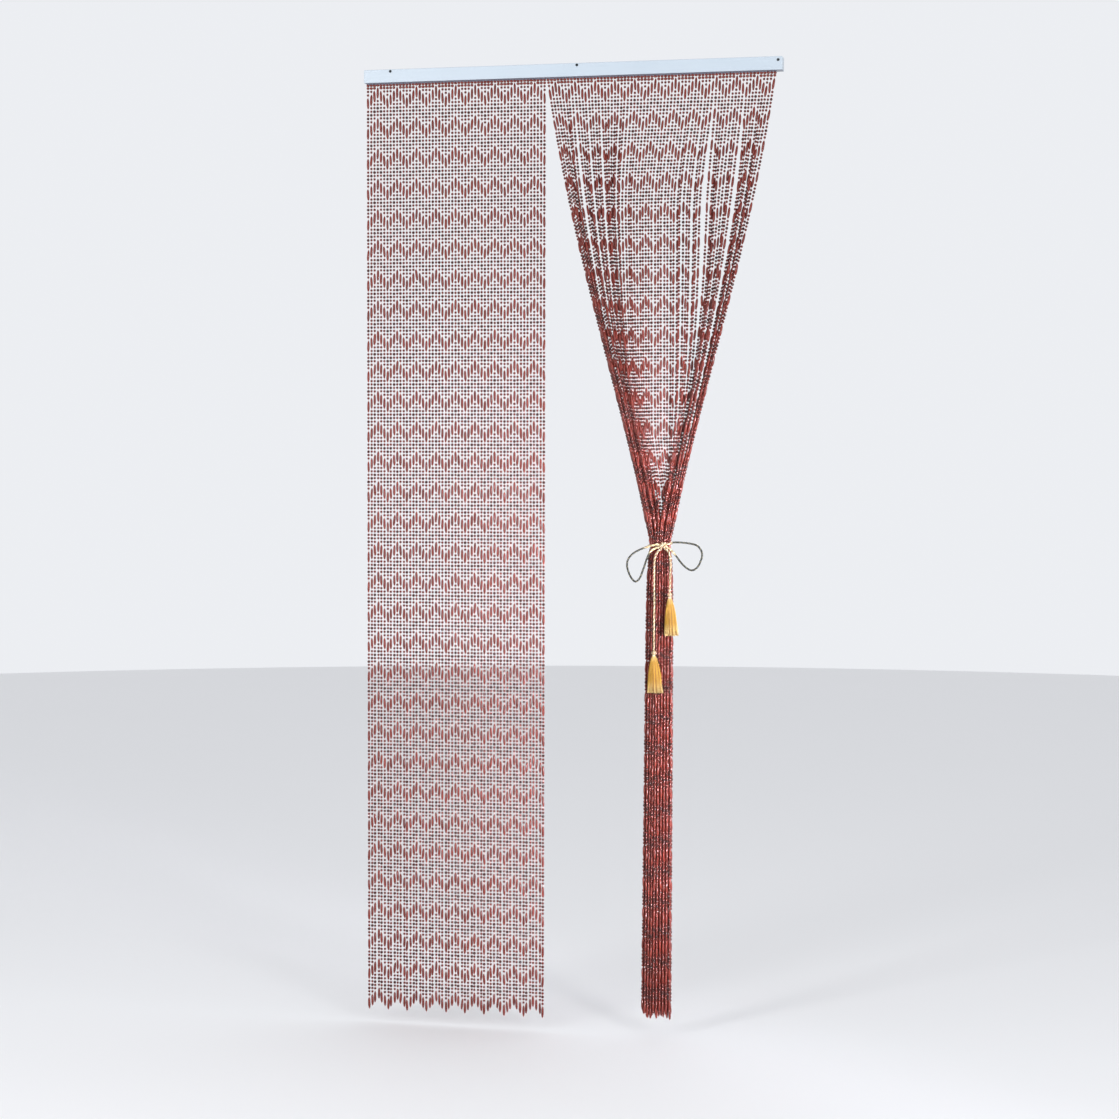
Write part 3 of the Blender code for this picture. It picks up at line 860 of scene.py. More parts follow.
@dataclass(frozen=True)
class StringLayout:
    """How the strings hang, by the sizes and rules of their solids.

    A span is a pair of shares: of the way from the rail down to the tie, or in clump_sides and
    level_sides from the middle string out to the outer ones.

    Attributes:
        sway_side: How unevenly the straight strings' feet hang, and sway_depth from front to back.
        lowest_lead_in: The drop to the lowest first long bead.
        header_beads: The drops to the broad beads that close the top of a string.
        gather_sag: How far the swept panel's outline sags, and gather_crossing where it crosses
            the straight line.
        plumb_share: The part of the panel that hangs plumb, lost late by plumb_power, and never
            quite, by least_plumb.
        middle_closing: How much the plumb part draws together, over the span middle_closes.
        bend_share: How softly the plumb part turns into the slope.
        depth_power: How early the strings leave the rail's plane for their depth at the tie.
        level_sides: How far out the strings stay in one plane, which they leave over level_end.
        pull_start: Where a string is drawn to its place at the tie, and column_start into its
            column.
        clump_centre: How unevenly the middle strings cling together, and clump_side the outer.
        slack: How far neighbours in the bundle have slipped past each other, more or less by
            slack_scatter. The outer strings slip over slack_start, the inner ones less by
            slack_power, and all of them over slack_bundle.
        foot_lift: How much higher the swept strings end.
        flare_length: How soon the bundle springs open below the tie, by flare_width and
            flare_depth, before it spreads by spread_width and spread_depth for each metre.
        bundle_lean: How far it leans sideways there for each metre.
    """

    string_count: int = 123
    left_count: int = 55
    pitch: float = 7.2 * MM
    first_x: float = -444.5 * MM
    hang_y: float = -15 * MM
    rail_bottom: float = -14 * MM
    sway_side: float = 0.4 * MM
    sway_depth: float = 1.6 * MM
    path_step: float = 5 * MM

    zigzag_strings: int = 6
    zigzag_step: float = 7.5 * MM
    repeat: float = 65 * MM
    repeats: int = 31
    lowest_lead_in: float = 30.5 * MM
    header_beads: tuple[float, float] = (3.5 * MM, 9.4 * MM)

    tie_drop: float = 984 * MM
    bundle_x: float = 196.9 * MM
    bundle_y: float = -21.5 * MM
    bundle_columns: int = 10
    bundle_seed: int = 3
    column_pitch: float = 4.16 * MM
    column_start: float = 0.94
    row_pitch: float = 4.1 * MM

    gather_sag: float = 0.5
    gather_crossing: float = 0.88
    plumb_share: float = 0.6
    plumb_power: float = 6.0
    least_plumb: float = 0.05
    middle_closing: float = 0.35
    middle_closes: tuple[float, float] = (0.7, 0.95)
    bend_share: float = 0.3
    depth_power: float = 3.0
    level_sides: tuple[float, float] = (0.15, 0.35)
    level_end: tuple[float, float] = (0.82, 0.98)
    pull_start: float = 0.86

    clump_seed: int = 7
    clump_centre: float = 0.12
    clump_side: float = 0.62
    clump_sides: tuple[float, float] = (0.25, 0.6)
    clump_start: tuple[float, float] = (0.0, 0.3)
    clump_end: tuple[float, float] = (0.75, 0.95)

    slack: float = 3.7 * MM
    slack_scatter: float = 0.3
    slack_power: float = 1.5
    slack_start: tuple[float, float] = (0.05, 0.35)
    slack_bundle: tuple[float, float] = (0.75, 1.0)
    foot_lift: float = 15 * MM

    flare_length: float = 45 * MM
    flare_width: float = 0.38
    flare_depth: float = 0.12
    spread_width: float = 0.17
    spread_depth: float = 0.06
    bundle_lean: float = -4.5 * MM

    @property
    def right_count(self) -> int:
        """How many strings are swept to the tie."""
        return self.string_count - self.left_count

    @property
    def tie_z(self) -> float:
        """The height of the tie."""
        return self.rail_bottom - self.tie_drop

    @property
    def panel_half_width(self) -> float:
        """Half the swept panel's width at the rail."""
        return self.pitch * (self.right_count - 1) / 2

    @property
    def bundle_half_width(self) -> float:
        """Half the bundle's width at the tie."""
        return (self.bundle_columns - 1) / 2 * self.column_pitch

    def string_x(self, index: int) -> float:
        """Where a string leaves the rail."""
        return self.first_x + self.pitch * index

    def first_long(self, index: int) -> float:
        """The drop to a string's first long bead, less from string to string in a zigzag."""
        half = self.zigzag_strings // 2
        return self.lowest_lead_in - self.zigzag_step * (
            half - abs(index % self.zigzag_strings - half)
        )

    def length(self, index: int) -> float:
        """From the rail's underside to the foot of the last long bead."""
        long_bead = BEADS[BeadKind.LONG].length
        return self.first_long(index) + self.repeat * (self.repeats - 1) + long_bead

    def side_share(self, number: int) -> float:
        """How far out a swept string is, from 0 in the middle to 1 at either side."""
        return abs(2 * number / (self.right_count - 1) - 1)

    @staticmethod
    def scatter(index: int, salt: int) -> float:
        """An uneven but repeatable value from -1 to 1 for each string."""
        return math.sin(2.4 * index + 31.7 * salt)

    @staticmethod
    def disc_share(place: float) -> float:
        """The share of a disc's area on the left of a place from -1 to 1 across it."""
        place = min(max(place, -1.0), 1.0)
        return 0.5 + (place * math.sqrt(1 - place * place) + math.asin(place)) / math.pi

    def beads(self, index: int) -> list[tuple[BeadKind, float]]:
        """List a string's beads from the rail down.

        Two broad beads close the top of every string, the second only where there is room above
        the first long bead.

        Args:
            index: The string's number from the left.

        Returns:
            Each bead's kind and the length of thread above its middle.
        """
        first_long = self.first_long(index)
        half = BEADS[BeadKind.HEADER].length / 2
        found = [
            (BeadKind.HEADER, place) for place in self.header_beads if place + half < first_long
        ]
        taken = found[-1][1] + half
        for repeat in range(-1, self.repeats):
            for kind, middle in MOTIF:
                place = first_long + self.repeat * repeat + middle
                if taken < place - BEADS[kind].length / 2 and place < self.length(index):
                    found.append((kind, place))
        return found

    def settled(self, index: int, lengths: np.ndarray, path: Path) -> np.ndarray:
        """Where beads lie on a string's path once the string hangs.

        The swept strings' feet end level, so their outer ones are slacker. Each has also slipped a
        little past its neighbours, by half a bead in the bundle.

        Args:
            index: The string's number from the left.
            lengths: The beads' places on the straight string.
            path: The string's path from the rail to its foot.

        Returns:
            Their lengths along the path.
        """
        stretched = lengths * path.travelled[-1] / self.length(index)
        if index < self.left_count:
            return stretched
        number = index - self.left_count
        way = lengths / self.tie_drop
        outer = self.side_share(number) ** self.slack_power
        share = outer * smooth_step(*self.slack_start, way)
        share = share + (1 - share) * smooth_step(*self.slack_bundle, way)
        layer = self.bundle_places[number][3]
        slip = (layer % 2 - 0.5) * self.slack
        slip += self.slack_scatter * self.slack * self.scatter(number, 7)
        return stretched + slip * share

    @cached_property
    def bundle_places(self) -> list[tuple[float, float, float, int]]:
        """Each swept string's place at the tie, about the bundle's middle.

        The strings lie in columns, each string at a depth of its own.

        Returns:
            For each string, its x where the strings run in, its x in its column, its y and its
            layer from the front.
        """
        rng = np.random.default_rng(self.bundle_seed)
        columns = self.bundle_columns
        shares = [self.disc_share(2 * edge / columns - 1) for edge in range(columns + 1)]
        bounds = [round(self.right_count * share) for share in shares]
        places = []
        for column in range(columns):
            rows = bounds[column + 1] - bounds[column]
            x = (column - (columns - 1) / 2) * self.column_pitch
            for order, row in enumerate(rng.permutation(rows)):
                running_in = x + ((order + 0.5) / rows - 0.5) * self.column_pitch
                y = (row - (rows - 1) / 2) * self.row_pitch
                places.append((running_in, x, y, int(row)))
        return places

    @cached_property
    def clumped_places(self) -> np.ndarray:
        """Where the swept strings would hang if neighbours clung together all the way.

        Returns:
            Each one's distance from the middle at the rail.
        """
        rng = np.random.default_rng(self.clump_seed)
        side = np.abs(np.linspace(-1, 1, self.right_count - 1))
        more = (self.clump_side - self.clump_centre) * smooth_step(*self.clump_sides, side)
        gaps = np.exp(rng.normal(0.0, 1.0, len(side)) * (self.clump_centre + more))
        places = np.concatenate([[0.0], np.cumsum(gaps)])
        return (places / places[-1] - 0.5) * 2 * self.panel_half_width

    def clumped(self, number: int, way: np.ndarray) -> np.ndarray:
        """A swept string's place in the open panel, drawn to its neighbours half-way down.

        Args:
            number: The string's number among the swept ones.
            way: Shares of the way down to the tie.

        Returns:
            Its distances from the middle there.
        """
        even = (number - (self.right_count - 1) / 2) * self.pitch
        hold = smooth_step(*self.clump_start, way) * (1 - smooth_step(*self.clump_end, way))
        return even + (self.clumped_places[number] - even) * hold

    def across(self, place: np.ndarray, half_width: np.ndarray, way: np.ndarray) -> np.ndarray:
        """How far from the middle a string is when the panel has come in so far.

        The middle strings hang plumb for longest and close up late. Those beyond them have slid
        together evenly on the slope.

        Args:
            place: Its distance from the middle in the open panel.
            half_width: The drawn-in panel's half width.
            way: The share of the way down to the tie.

        Returns:
            Its distance from the middle.
        """
        left = np.maximum(1 - way**self.plumb_power, self.least_plumb)
        middle = half_width * self.plumb_share * left
        steep = 1 - self.middle_closing * smooth_step(*self.middle_closes, way)
        plumb = middle / steep
        bend = plumb * self.bend_share
        slope = (half_width - middle) / (self.panel_half_width - plumb)
        beyond = bend * np.logaddexp(0.0, (np.abs(place) - plumb) / bend)
        return np.sign(place) * (steep * np.abs(place) - (steep - slope) * beyond)

    def above_tie(self, number: int, way: np.ndarray) -> np.ndarray:
        """Lead a swept string from the rail to its place at the tie.

        Args:
            number: The string's number among the swept ones.
            way: Shares of the way down to the tie.

        Returns:
            The points.
        """
        running_in, column_x, place_y, _ = self.bundle_places[number]
        place_x = running_in + (column_x - running_in) * smooth_step(self.column_start, 1.0, way)
        closing = way - self.gather_sag * way * (1 - way) * (self.gather_crossing - way)
        narrowing = (self.bundle_half_width - self.panel_half_width) * closing
        half_width = self.panel_half_width + narrowing
        free = self.across(self.clumped(number, way), half_width, way)
        pull = smooth_step(self.pull_start, 1.0, way)
        sideways = free + (place_x * half_width / self.bundle_half_width - free) * pull
        top_x = self.string_x(self.left_count) + self.panel_half_width
        x = top_x + (self.bundle_x - top_x) * way + sideways
        level = 1 - smooth_step(*self.level_sides, self.side_share(number))
        level = level * (1 - smooth_step(*self.level_end, way))
        y = self.hang_y + (self.bundle_y - self.hang_y) * way
        y = y + place_y * (1 - (1 - way) ** self.depth_power) * (1 - level)
        return np.stack([x, y, self.rail_bottom - self.tie_drop * way], 1)

    def below_tie(self, number: int, drop: np.ndarray) -> np.ndarray:
        """Lead a swept string on down from the tie, where the bundle opens.

        Args:
            number: The string's number among the swept ones.
            drop: Distances below the tie.

        Returns:
            The points.
        """
        _, place_x, place_y, _ = self.bundle_places[number]
        flare = 1 - np.exp(-drop / self.flare_length)
        wide = 1 + self.flare_width * flare + self.spread_width * drop
        deep = 1 + self.flare_depth * flare + self.spread_depth * drop
        x = self.bundle_x + self.bundle_lean * drop + place_x * wide
        return np.stack([x, self.bundle_y + place_y * deep, self.tie_z - drop], 1)

    def path(self, index: int) -> Path:
        """The line that a string's thread follows, from the rail's underside to its foot.

        Args:
            index: The string's number from the left.

        Returns:
            The line.
        """
        length = self.length(index)
        if index >= self.left_count:
            length -= self.foot_lift
        depth = np.linspace(0.0, length, math.ceil(length / self.path_step) + 1)
        if index < self.left_count:
            share = depth / length
            x = self.string_x(index) + self.sway_side * self.scatter(index, 1) * share**2
            y = self.hang_y + self.sway_depth * self.scatter(index, 2) * share
            return Path.through(np.stack([x, y, self.rail_bottom - depth], 1))
        number = index - self.left_count
        upper = self.above_tie(number, depth[depth <= self.tie_drop] / self.tie_drop)
        lower = self.below_tie(number, depth[depth > self.tie_drop] - self.tie_drop)
        return Path.through(np.concatenate([upper, lower]))


# ---------------------------------------------------------------- tubes and twisted cord


def turning_frames(points: np.ndarray, first_side: Vector) -> tuple[np.ndarray, np.ndarray]:
    """Carry a sideways direction along a line without needless twist.

    Args:
        points: The line's points.
        first_side: A direction that isn't along the line's start.

    Returns:
        Two unit vectors across the line at each point.
    """
    ways = np.gradient(points, axis=0)
    ways /= np.linalg.norm(ways, axis=1, keepdims=True)
    side = np.array(first_side)
    sides = []
    for way in ways:
        side = side - way * (side @ way)
        side = side / np.linalg.norm(side)
        sides.append(side)
    sides = np.array(sides)
    return sides, np.cross(ways, sides)


def tube(
    line: np.ndarray,
    radius: float | np.ndarray,
    sides: int,
    frames: tuple[np.ndarray, np.ndarray],
) -> np.ndarray:
    """The points of a tube round a line, in the order that Form.from_rings takes.

    Args:
        line: The line's points.
        radius: The tube's radius, or its radius at each of them.
        sides: How many points each ring has.
        frames: Two unit vectors across the line at each point.

    Returns:
        The pole at the start, the rings and the pole at the end.
    """
    turns = FULL_TURN * np.arange(sides) / sides
    first, second = frames
    around = (
        first[:, None, :] * np.cos(turns)[None, :, None]
        + second[:, None, :] * np.sin(turns)[None, :, None]
    )
    radii = np.broadcast_to(radius, len(line))
    rings = (line[:, None, :] + around * radii[:, None, None]).reshape(-1, 3)
    return np.concatenate([line[:1], rings, line[-1:]])


@dataclass(frozen=True)
class TwistedCord:
    """Three-ply twisted cord.

    Attributes:
        diameter: Of the cord as it is measured, half way between its ridges and its grooves.
        fullness: How far the soft plies swell past three that just touch inside that diameter.
        lay: The length of one full turn of a ply.
        rings_a_turn: How finely a turn is drawn.
        least_steps: How finely a very short cord is drawn.
        sides: Faces round a ply.
        fibre_repeat: The length that one repeat of the fibre map takes.
    """

    diameter: float = 3.8 * MM
    fullness: float = 1.2
    lay: float = 9.5 * MM
    rings_a_turn: int = 10
    least_steps: int = 6
    sides: int = 8
    fibre_repeat: float = 4 * MM

    @property
    def reach(self) -> float:
        """How far the plies reach out from the centreline."""
        return self.fullness * self.diameter / 2

    @property
    def ply_radius(self) -> float:
        """The radius of a ply, where the three just touch."""
        return self.reach / (1 + 1 / math.sin(math.pi / 3))

    def add_to(
        self,
        joined: JoinedMesh,
        line: np.ndarray,
        plies: tuple[Ply, Ply, Ply],
        closed: bool = False,
    ) -> None:
        """Lay the cord along a line and add its plies to a mesh.

        Args:
            joined: The mesh that gathers them.
            line: The centreline's points, the first again at the end where it is closed.
            plies: The yarn of each ply.
            closed: Whether the line closes on itself.
        """
        path = Path.through(line)
        total = path.travelled[-1]
        turns = total / self.lay
        if closed:
            turns = max(1, round(turns))
        count = max(self.least_steps, math.ceil(turns * self.rings_a_turn)) + 1
        lengths = np.linspace(0.0, total, count)
        centres = path.at(lengths)
        across, other = turning_frames(centres, Vector((0.0, -1.0, 0.12)))
        if closed:
            across[-1], other[-1] = across[0], other[0]
        layout = Form.from_rings(count, self.sides)
        for number, ply in enumerate(plies):
            angle = FULL_TURN * (number / len(plies) + turns * lengths / total)
            out = across * np.cos(angle)[:, None] + other * np.sin(angle)[:, None]
            middle = centres + out * (self.reach - self.ply_radius)
            points = tube(middle, self.ply_radius, self.sides, (across, other))
            tone = number / (len(plies) - 1)
            joined.add(layout, points, tone, ply.value, layout.fibres(total / self.fibre_repeat))


def smooth_line(points: list[Vector], step: float) -> np.ndarray:
    """Points at even steps along a smooth curve through the given ones.

    Args:
        points: The curve's own points.
        step: The wanted distance between the new ones.

    Returns:
        The new points, from the first given one to the last.
    """
    fine = []
    parts = 12
    last = len(points) - 1
    for i in range(last):
        before = points[max(i - 1, 0)]
        start, end = points[i], points[i + 1]
        after = points[min(i + 2, last)]
        for part in range(parts):
            t = part / parts
            linear = (end - before) * t
            square = (2 * before - 5 * start + 4 * end - after) * t * t
            cube = (3 * start - before - 3 * end + after) * t * t * t
            fine.append(start + (linear + square + cube) * 0.5)
    fine.append(points[-1])
    path = Path.through(np.array(fine))
    count = max(2, round(path.travelled[-1] / step))
    return path.at(np.linspace(0.0, path.travelled[-1], count + 1))


class Ply(Enum):
    """The yarns that the tieback's cord is twisted from, by their material number."""

    CREAM = 0
    GOLD = 1
    # The olive and sand plies are painted shade: the loops are the tails' cord, darkened where the
    # light is behind them
    OLIVE = 2
    SAND = 3


LIGHT_CORD = (Ply.CREAM, Ply.GOLD, Ply.CREAM)
# The loops' cord: the tails' cord with painted shade
SHADED_LOOP_CORD = (Ply.OLIVE, Ply.OLIVE, Ply.SAND)
PALE_CORD = (Ply.CREAM, Ply.CREAM, Ply.GOLD)


# ---------------------------------------------------------------- the rail


def apply_modifiers(item: bpy.types.Object) -> None:
    """Turn an object's modifiers into its own mesh.

    Args:
        item: The object.
    """
    bpy.context.view_layer.update()
    evaluated = item.evaluated_get(bpy.context.evaluated_depsgraph_get())
    mesh = bpy.data.meshes.new_from_object(evaluated)
    mesh.name = item.name
    item.modifiers.clear()
    item.data = mesh


@dataclass(frozen=True)
class Screw:
    """One round-headed screw with the driver's cross in its head.

    Attributes:
        name: The solid that it stands for.
        place: Its x and z on the rail's face.
        dome_power: How full the dome is, less than 1 for a fuller one.
        rim_share: How far the head is drawn in under its rim.
        cross_turn: How far the cross is turned, in radians.
        sharp_angle: The angle in degrees from which an edge looks sharp.
    """

    name: str
    place: tuple[float, float]
    sides: int = 28
    head_radius: float = 2.9 * MM
    head_height: float = 1.7 * MM
    dome_steps: int = 6
    dome_power: float = 0.8
    rim_share: float = 0.97
    rim_depth: float = 0.1 * MM
    shank_radius: float = 1.7 * MM
    cross_turn: float = 0.4
    recess_width: float = 0.75 * MM
    recess_reach: float = 3.2 * MM
    recess_depth: float = 1.1 * MM
    sharp_angle: float = 35.0

    def turned(self, shank_end: float) -> bpy.types.Object:
        """Turn the head and the shank about z, the head's seat at the origin.

        Args:
            shank_end: The height of the shank's end.

        Returns:
            The screw, upright and without its cross.
        """
        profile = []
        for step in range(self.dome_steps + 1):
            turn = math.pi / 2 * step / self.dome_steps
            radius = self.head_radius * math.sin(turn) ** self.dome_power
            profile.append((radius, self.head_height * math.cos(turn)))
        profile += [
            (self.head_radius * self.rim_share, -self.rim_depth),
            (self.shank_radius, -self.rim_depth),
            (self.shank_radius, shank_end),
            (0.0, shank_end),
        ]
        body = bmesh.new()
        points = [body.verts.new((radius, 0.0, height)) for radius, height in profile]
        edges = [body.edges.new(pair) for pair in zip(points, points[1:])]
        bmesh.ops.spin(
            body,
            geom=points + edges,
            axis=(0, 0, 1),
            cent=(0, 0, 0),
            angle=FULL_TURN,
            steps=self.sides,
            use_merge=True,
        )
        bmesh.ops.remove_doubles(body, verts=body.verts, dist=0.005 * MM)
        bmesh.ops.recalc_face_normals(body, faces=body.faces)
        return add_object(mesh_from(body, self.name + "_driven"))

    def recess_cutter(self, name: str, turn: float) -> bpy.types.Object:
        """Shape one bar of the driver's cross, tapered downwards.

        Args:
            name: The cutter's name.
            turn: How far it is turned, in radians.

        Returns:
            The cutter.
        """
        body = bmesh.new()
        bmesh.ops.create_cone(
            body, cap_ends=True, segments=4, radius1=0.5, radius2=math.sqrt(0.5), depth=1.0
        )
        bmesh.ops.rotate(body, verts=body.verts, matrix=Matrix.Rotation(math.pi / 4, 3, "Z"))
        size = (self.recess_reach, self.recess_width, 2 * self.recess_depth)
        bmesh.ops.scale(body, verts=body.verts, vec=size)
        bmesh.ops.rotate(body, verts=body.verts, matrix=Matrix.Rotation(turn, 3, "Z"))
        bmesh.ops.translate(body, verts=body.verts, vec=(0, 0, self.head_height))
        return add_object(mesh_from(body, name))

    def build(self, rail_depth: float, gap: float, steel: bpy.types.Material) -> bpy.types.Object:
        """Turn the screw, cut the cross into its head and seat it in the rail.

        Args:
            rail_depth: How far the rail's face is from the wall.
            gap: The air under the head and behind the shank.
            steel: Its finish.

        Returns:
            The screw, in place.
        """
        screw = self.turned(gap - rail_depth)
        for number, turn in enumerate((self.cross_turn, self.cross_turn + math.pi / 2)):
            bar = self.recess_cutter(f"{self.name}_cross_{number}", turn)
            cut = screw.modifiers.new("cross", "BOOLEAN")
            cut.operation = "DIFFERENCE"
            cut.object = bar
            apply_modifiers(screw)
            bpy.data.objects.remove(bar, do_unlink=True)
        screw.data.transform(Matrix.Rotation(math.pi / 2, 4, "X"))
        seat = (self.place[0], -rail_depth - gap, self.place[1])
        screw.data.transform(Matrix.Translation(seat))
        screw.data.shade_smooth()
        screw.data.set_sharp_from_angle(angle=math.radians(self.sharp_angle))
        screw.data.materials.append(steel)
        return screw


@dataclass(frozen=True)
class Rail:
    """The painted batten with its screws and the two headings in its groove.

    Attributes:
        gap: The air between two pieces that are fitted together.
        overhang: How far a heading goes on past its outer strings.
        heading_drop: How far it reaches below the rail, where its grey shows as the painted shadow
            line.
        heading_edge: The rounding of its edges.
        sharp_angle: The angle in degrees from which its edges look sharp.
    """

    depth: float = 28 * MM
    gap: float = 0.3 * MM
    screws: tuple[Screw, ...] = (
        Screw("screw_left", (-391 * MM, 9.6 * MM)),
        Screw("screw_middle", (16.5 * MM, 9.6 * MM)),
        Screw("screw_right", (441 * MM, 6.5 * MM)),
    )
    groove_height: float = 5.0 * MM
    groove_width: float = 5.6 * MM
    overhang: float = 2.5 * MM
    heading_drop: float = 2.4 * MM
    heading_edge: float = 0.7 * MM
    sharp_angle: float = 50.0

    def build_heading(
        self, name: str, layout: StringLayout, first: int, count: int, tape: bpy.types.Material
    ) -> bpy.types.Object:
        """The woven heading that a panel's threads are sewn to.

        Args:
            name: The piece's name.
            layout: How the strings hang.
            first: The panel's first string.
            count: How many strings it has.
            tape: Its finish.

        Returns:
            The heading, in the rail's groove.
        """
        left = layout.string_x(first) - self.overhang
        right = layout.string_x(first + count - 1) + self.overhang
        height = self.groove_height - self.gap + self.heading_drop
        size = (right - left, self.groove_width - 2 * self.gap, height)
        top = layout.rail_bottom + self.groove_height - self.gap
        middle = ((left + right) / 2, layout.hang_y, top - height / 2)
        body = bmesh.new()
        bmesh.ops.create_cube(body, size=1.0)
        bmesh.ops.scale(body, vec=size, verts=body.verts)
        bmesh.ops.bevel(
            body,
            geom=body.edges[:],
            offset=self.heading_edge,
            segments=3,
            affect="EDGES",
            profile=0.5,
        )
        bmesh.ops.translate(body, vec=middle, verts=body.verts)
        mesh = mesh_from(body, name)
        mesh.shade_smooth()
        mesh.set_sharp_from_angle(angle=math.radians(self.sharp_angle))
        mesh.materials.append(tape)
        return add_object(mesh)

    def build(self, frame: dict, layout: StringLayout) -> None:
        """Paint the rail's own solid, and fit the screws and the headings.

        Args:
            frame: The loaded model.
            layout: How the strings hang.
        """
        rail = frame["nodes"]["rail"]
        rail.data.materials.clear()
        rail.data.materials.append(SatinPaint().build())
        log.info("rail painted")
        steel = BlackedSteel().build()
        for screw in self.screws:
            hand_over(screw.build(self.depth, self.gap, steel), (screw.name,))
        tape = WovenTape().build()
        left, right = layout.left_count, layout.right_count
        hand_over(self.build_heading("heading_left", layout, 0, left, tape))
        hand_over(self.build_heading("heading_right", layout, left, right, tape))


# ---------------------------------------------------------------- the bead strings

# Each stain's name, its lightest, its darkest and its streaks, in the order of BeadKind
STAINS = (
    ("red_brown_stained_beech", "#7F2F25", "#65221A", "#44150F"),
    ("dark_stained_beech", "#4A211E", "#3A1916", "#28100D"),
    ("brown_stained_beech", "#712B23", "#5B211B", "#3D1511"),
    ("russet_stained_beech", "#84392F", "#692A22", "#471B15"),
)


@dataclass(frozen=True)
class BeadPanels:
    """The bead strings, in five groups of neighbours, with their threads.

    Attributes:
        groups: Each group's name and how many strings it has, from the left.
        loose_tilt: How far a bead may lean on its thread, in radians.
        loose_shift: How far it may slide along it.
        size_spread: How much the beads' widths differ, and along_share how much of that their
            lengths do.
        tone_spread: How much their stains differ.
        thread_start: How far the thread goes on up into the heading.
        thread_end: How far it comes out of the last bead.
        knot_radius: Of the knot below the last bead, and knot_hang how far down it hangs there.
    """

    layout: StringLayout
    groups: tuple[tuple[str, int], ...] = (
        ("strings_left_a", 28),
        ("strings_left_b", 27),
        ("strings_right_a", 23),
        ("strings_right_b", 23),
        ("strings_right_c", 22),
    )
    seed: int = 41
    loose_tilt: float = 0.035
    loose_shift: float = 0.25 * MM
    size_spread: float = 0.035
    along_share: float = 0.3
    tone_spread: float = 0.22
    thread_radius: float = 0.5 * MM
    thread_sides: int = 3
    thread_step: float = 32 * MM
    thread_start: float = 1.2 * MM
    thread_end: float = 0.6 * MM
    knot_radius: float = 0.9 * MM
    knot_hang: float = 0.6

    def bead_copies(
        self, form: Form, path: Path, lengths: np.ndarray, rng: np.random.Generator
    ) -> np.ndarray:
        """Set copies of one bead on a thread, each a little its own way.

        Args:
            form: The bead.
            path: The thread's line.
            lengths: How far down the thread each bead's middle is.
            rng: The source of the small differences.

        Returns:
            Every copy's points, as copies by points by 3.
        """
        count = len(lengths)
        up = -path.heading(lengths) + rng.normal(0.0, self.loose_tilt, (count, 3)) * (1, 1, 0)
        up /= np.linalg.norm(up, axis=1, keepdims=True)
        spin = rng.uniform(0.0, FULL_TURN, count)
        reference = ellipse(1.0, 1.0, 0.0, spin)
        side = np.cross(reference, up)
        side /= np.linalg.norm(side, axis=1, keepdims=True)
        third = np.cross(up, side)
        shift = rng.uniform(-self.loose_shift, self.loose_shift, count)
        middle = path.at(lengths + shift)
        spread = rng.normal(0.0, self.size_spread, (count, 1, 1))
        points = form.points[None] * (1 + spread * np.array([1, 1, self.along_share]))
        return (
            middle[:, None, :]
            + points[:, :, :1] * side[:, None, :]
            + points[:, :, 1:2] * third[:, None, :]
            + points[:, :, 2:] * up[:, None, :]
        )

    def build_group(self, name: str, strings: range, stains: list[bpy.types.Material]) -> None:
        """Thread one group of neighbouring strings with all its beads.

        Args:
            name: The piece's name.
            strings: The numbers of its strings.
            stains: The stained woods, in the order of BeadKind.
        """
        rng = np.random.default_rng(self.seed + strings.start)
        joined = JoinedMesh(name)
        forms = {kind: bead.form() for kind, bead in BEADS.items()}
        for index in strings:
            path = self.layout.path(index)
            beads = self.layout.beads(index)
            for kind in BeadKind:
                lengths = np.array([place for found, place in beads if found is kind])
                lengths = self.layout.settled(index, lengths, path)
                copies = self.bead_copies(forms[kind], path, lengths, rng)
                tones = np.clip(rng.normal(0.5, self.tone_spread, len(lengths)), 0.0, 1.0)
                joined.add(forms[kind], copies, tones, kind.value)
        nodes = ("panel_left",) if "left" in name else ("panel_right",)
        hand_over(joined.build(stains), nodes)

    def build_threads(self, name: str, strings: range, finish: bpy.types.Material) -> None:
        """The threads of one panel, each with the knot at its foot.

        Args:
            name: The piece's name.
            strings: The numbers of its strings.
            finish: The thread's finish.
        """
        joined = JoinedMesh(name)
        size = 2 * self.knot_radius
        knot = Bead(size, size, 6, ((0.2, 0.8), (0.6, 1.0))).form()
        for index in strings:
            path = self.layout.path(index)
            foot = self.layout.settled(index, np.array([self.layout.length(index)]), path)[0]
            steps = math.ceil(foot / self.thread_step)
            line = path.at(np.linspace(0.0, foot + self.thread_end, steps + 1))
            line[0, 2] += self.thread_start
            frames = turning_frames(line, Vector((1.0, 0.0, 0.1)))
            points = tube(line, self.thread_radius, self.thread_sides, frames)
            joined.add(Form.from_rings(len(line), self.thread_sides), points, 0.5)
            end = line[-1] - (0.0, 0.0, self.knot_radius * self.knot_hang)
            joined.add(knot, knot.points + end, 0.5)
        hand_over(joined.build([finish]))

    def build(self) -> None:
        """Make every group and both panels' threads."""
        stains = [LacqueredBeech(*stain).build() for stain in STAINS]
        first = 0
        for name, count in self.groups:
            self.build_group(name, range(first, first + count), stains)
            first += count
        thread = WaxedThread().build()
        left, total = self.layout.left_count, self.layout.string_count
        self.build_threads("threads_left", range(left), thread)
        self.build_threads("threads_right", range(left, total), thread)


# ---------------------------------------------------------------- the tieback and its tassels


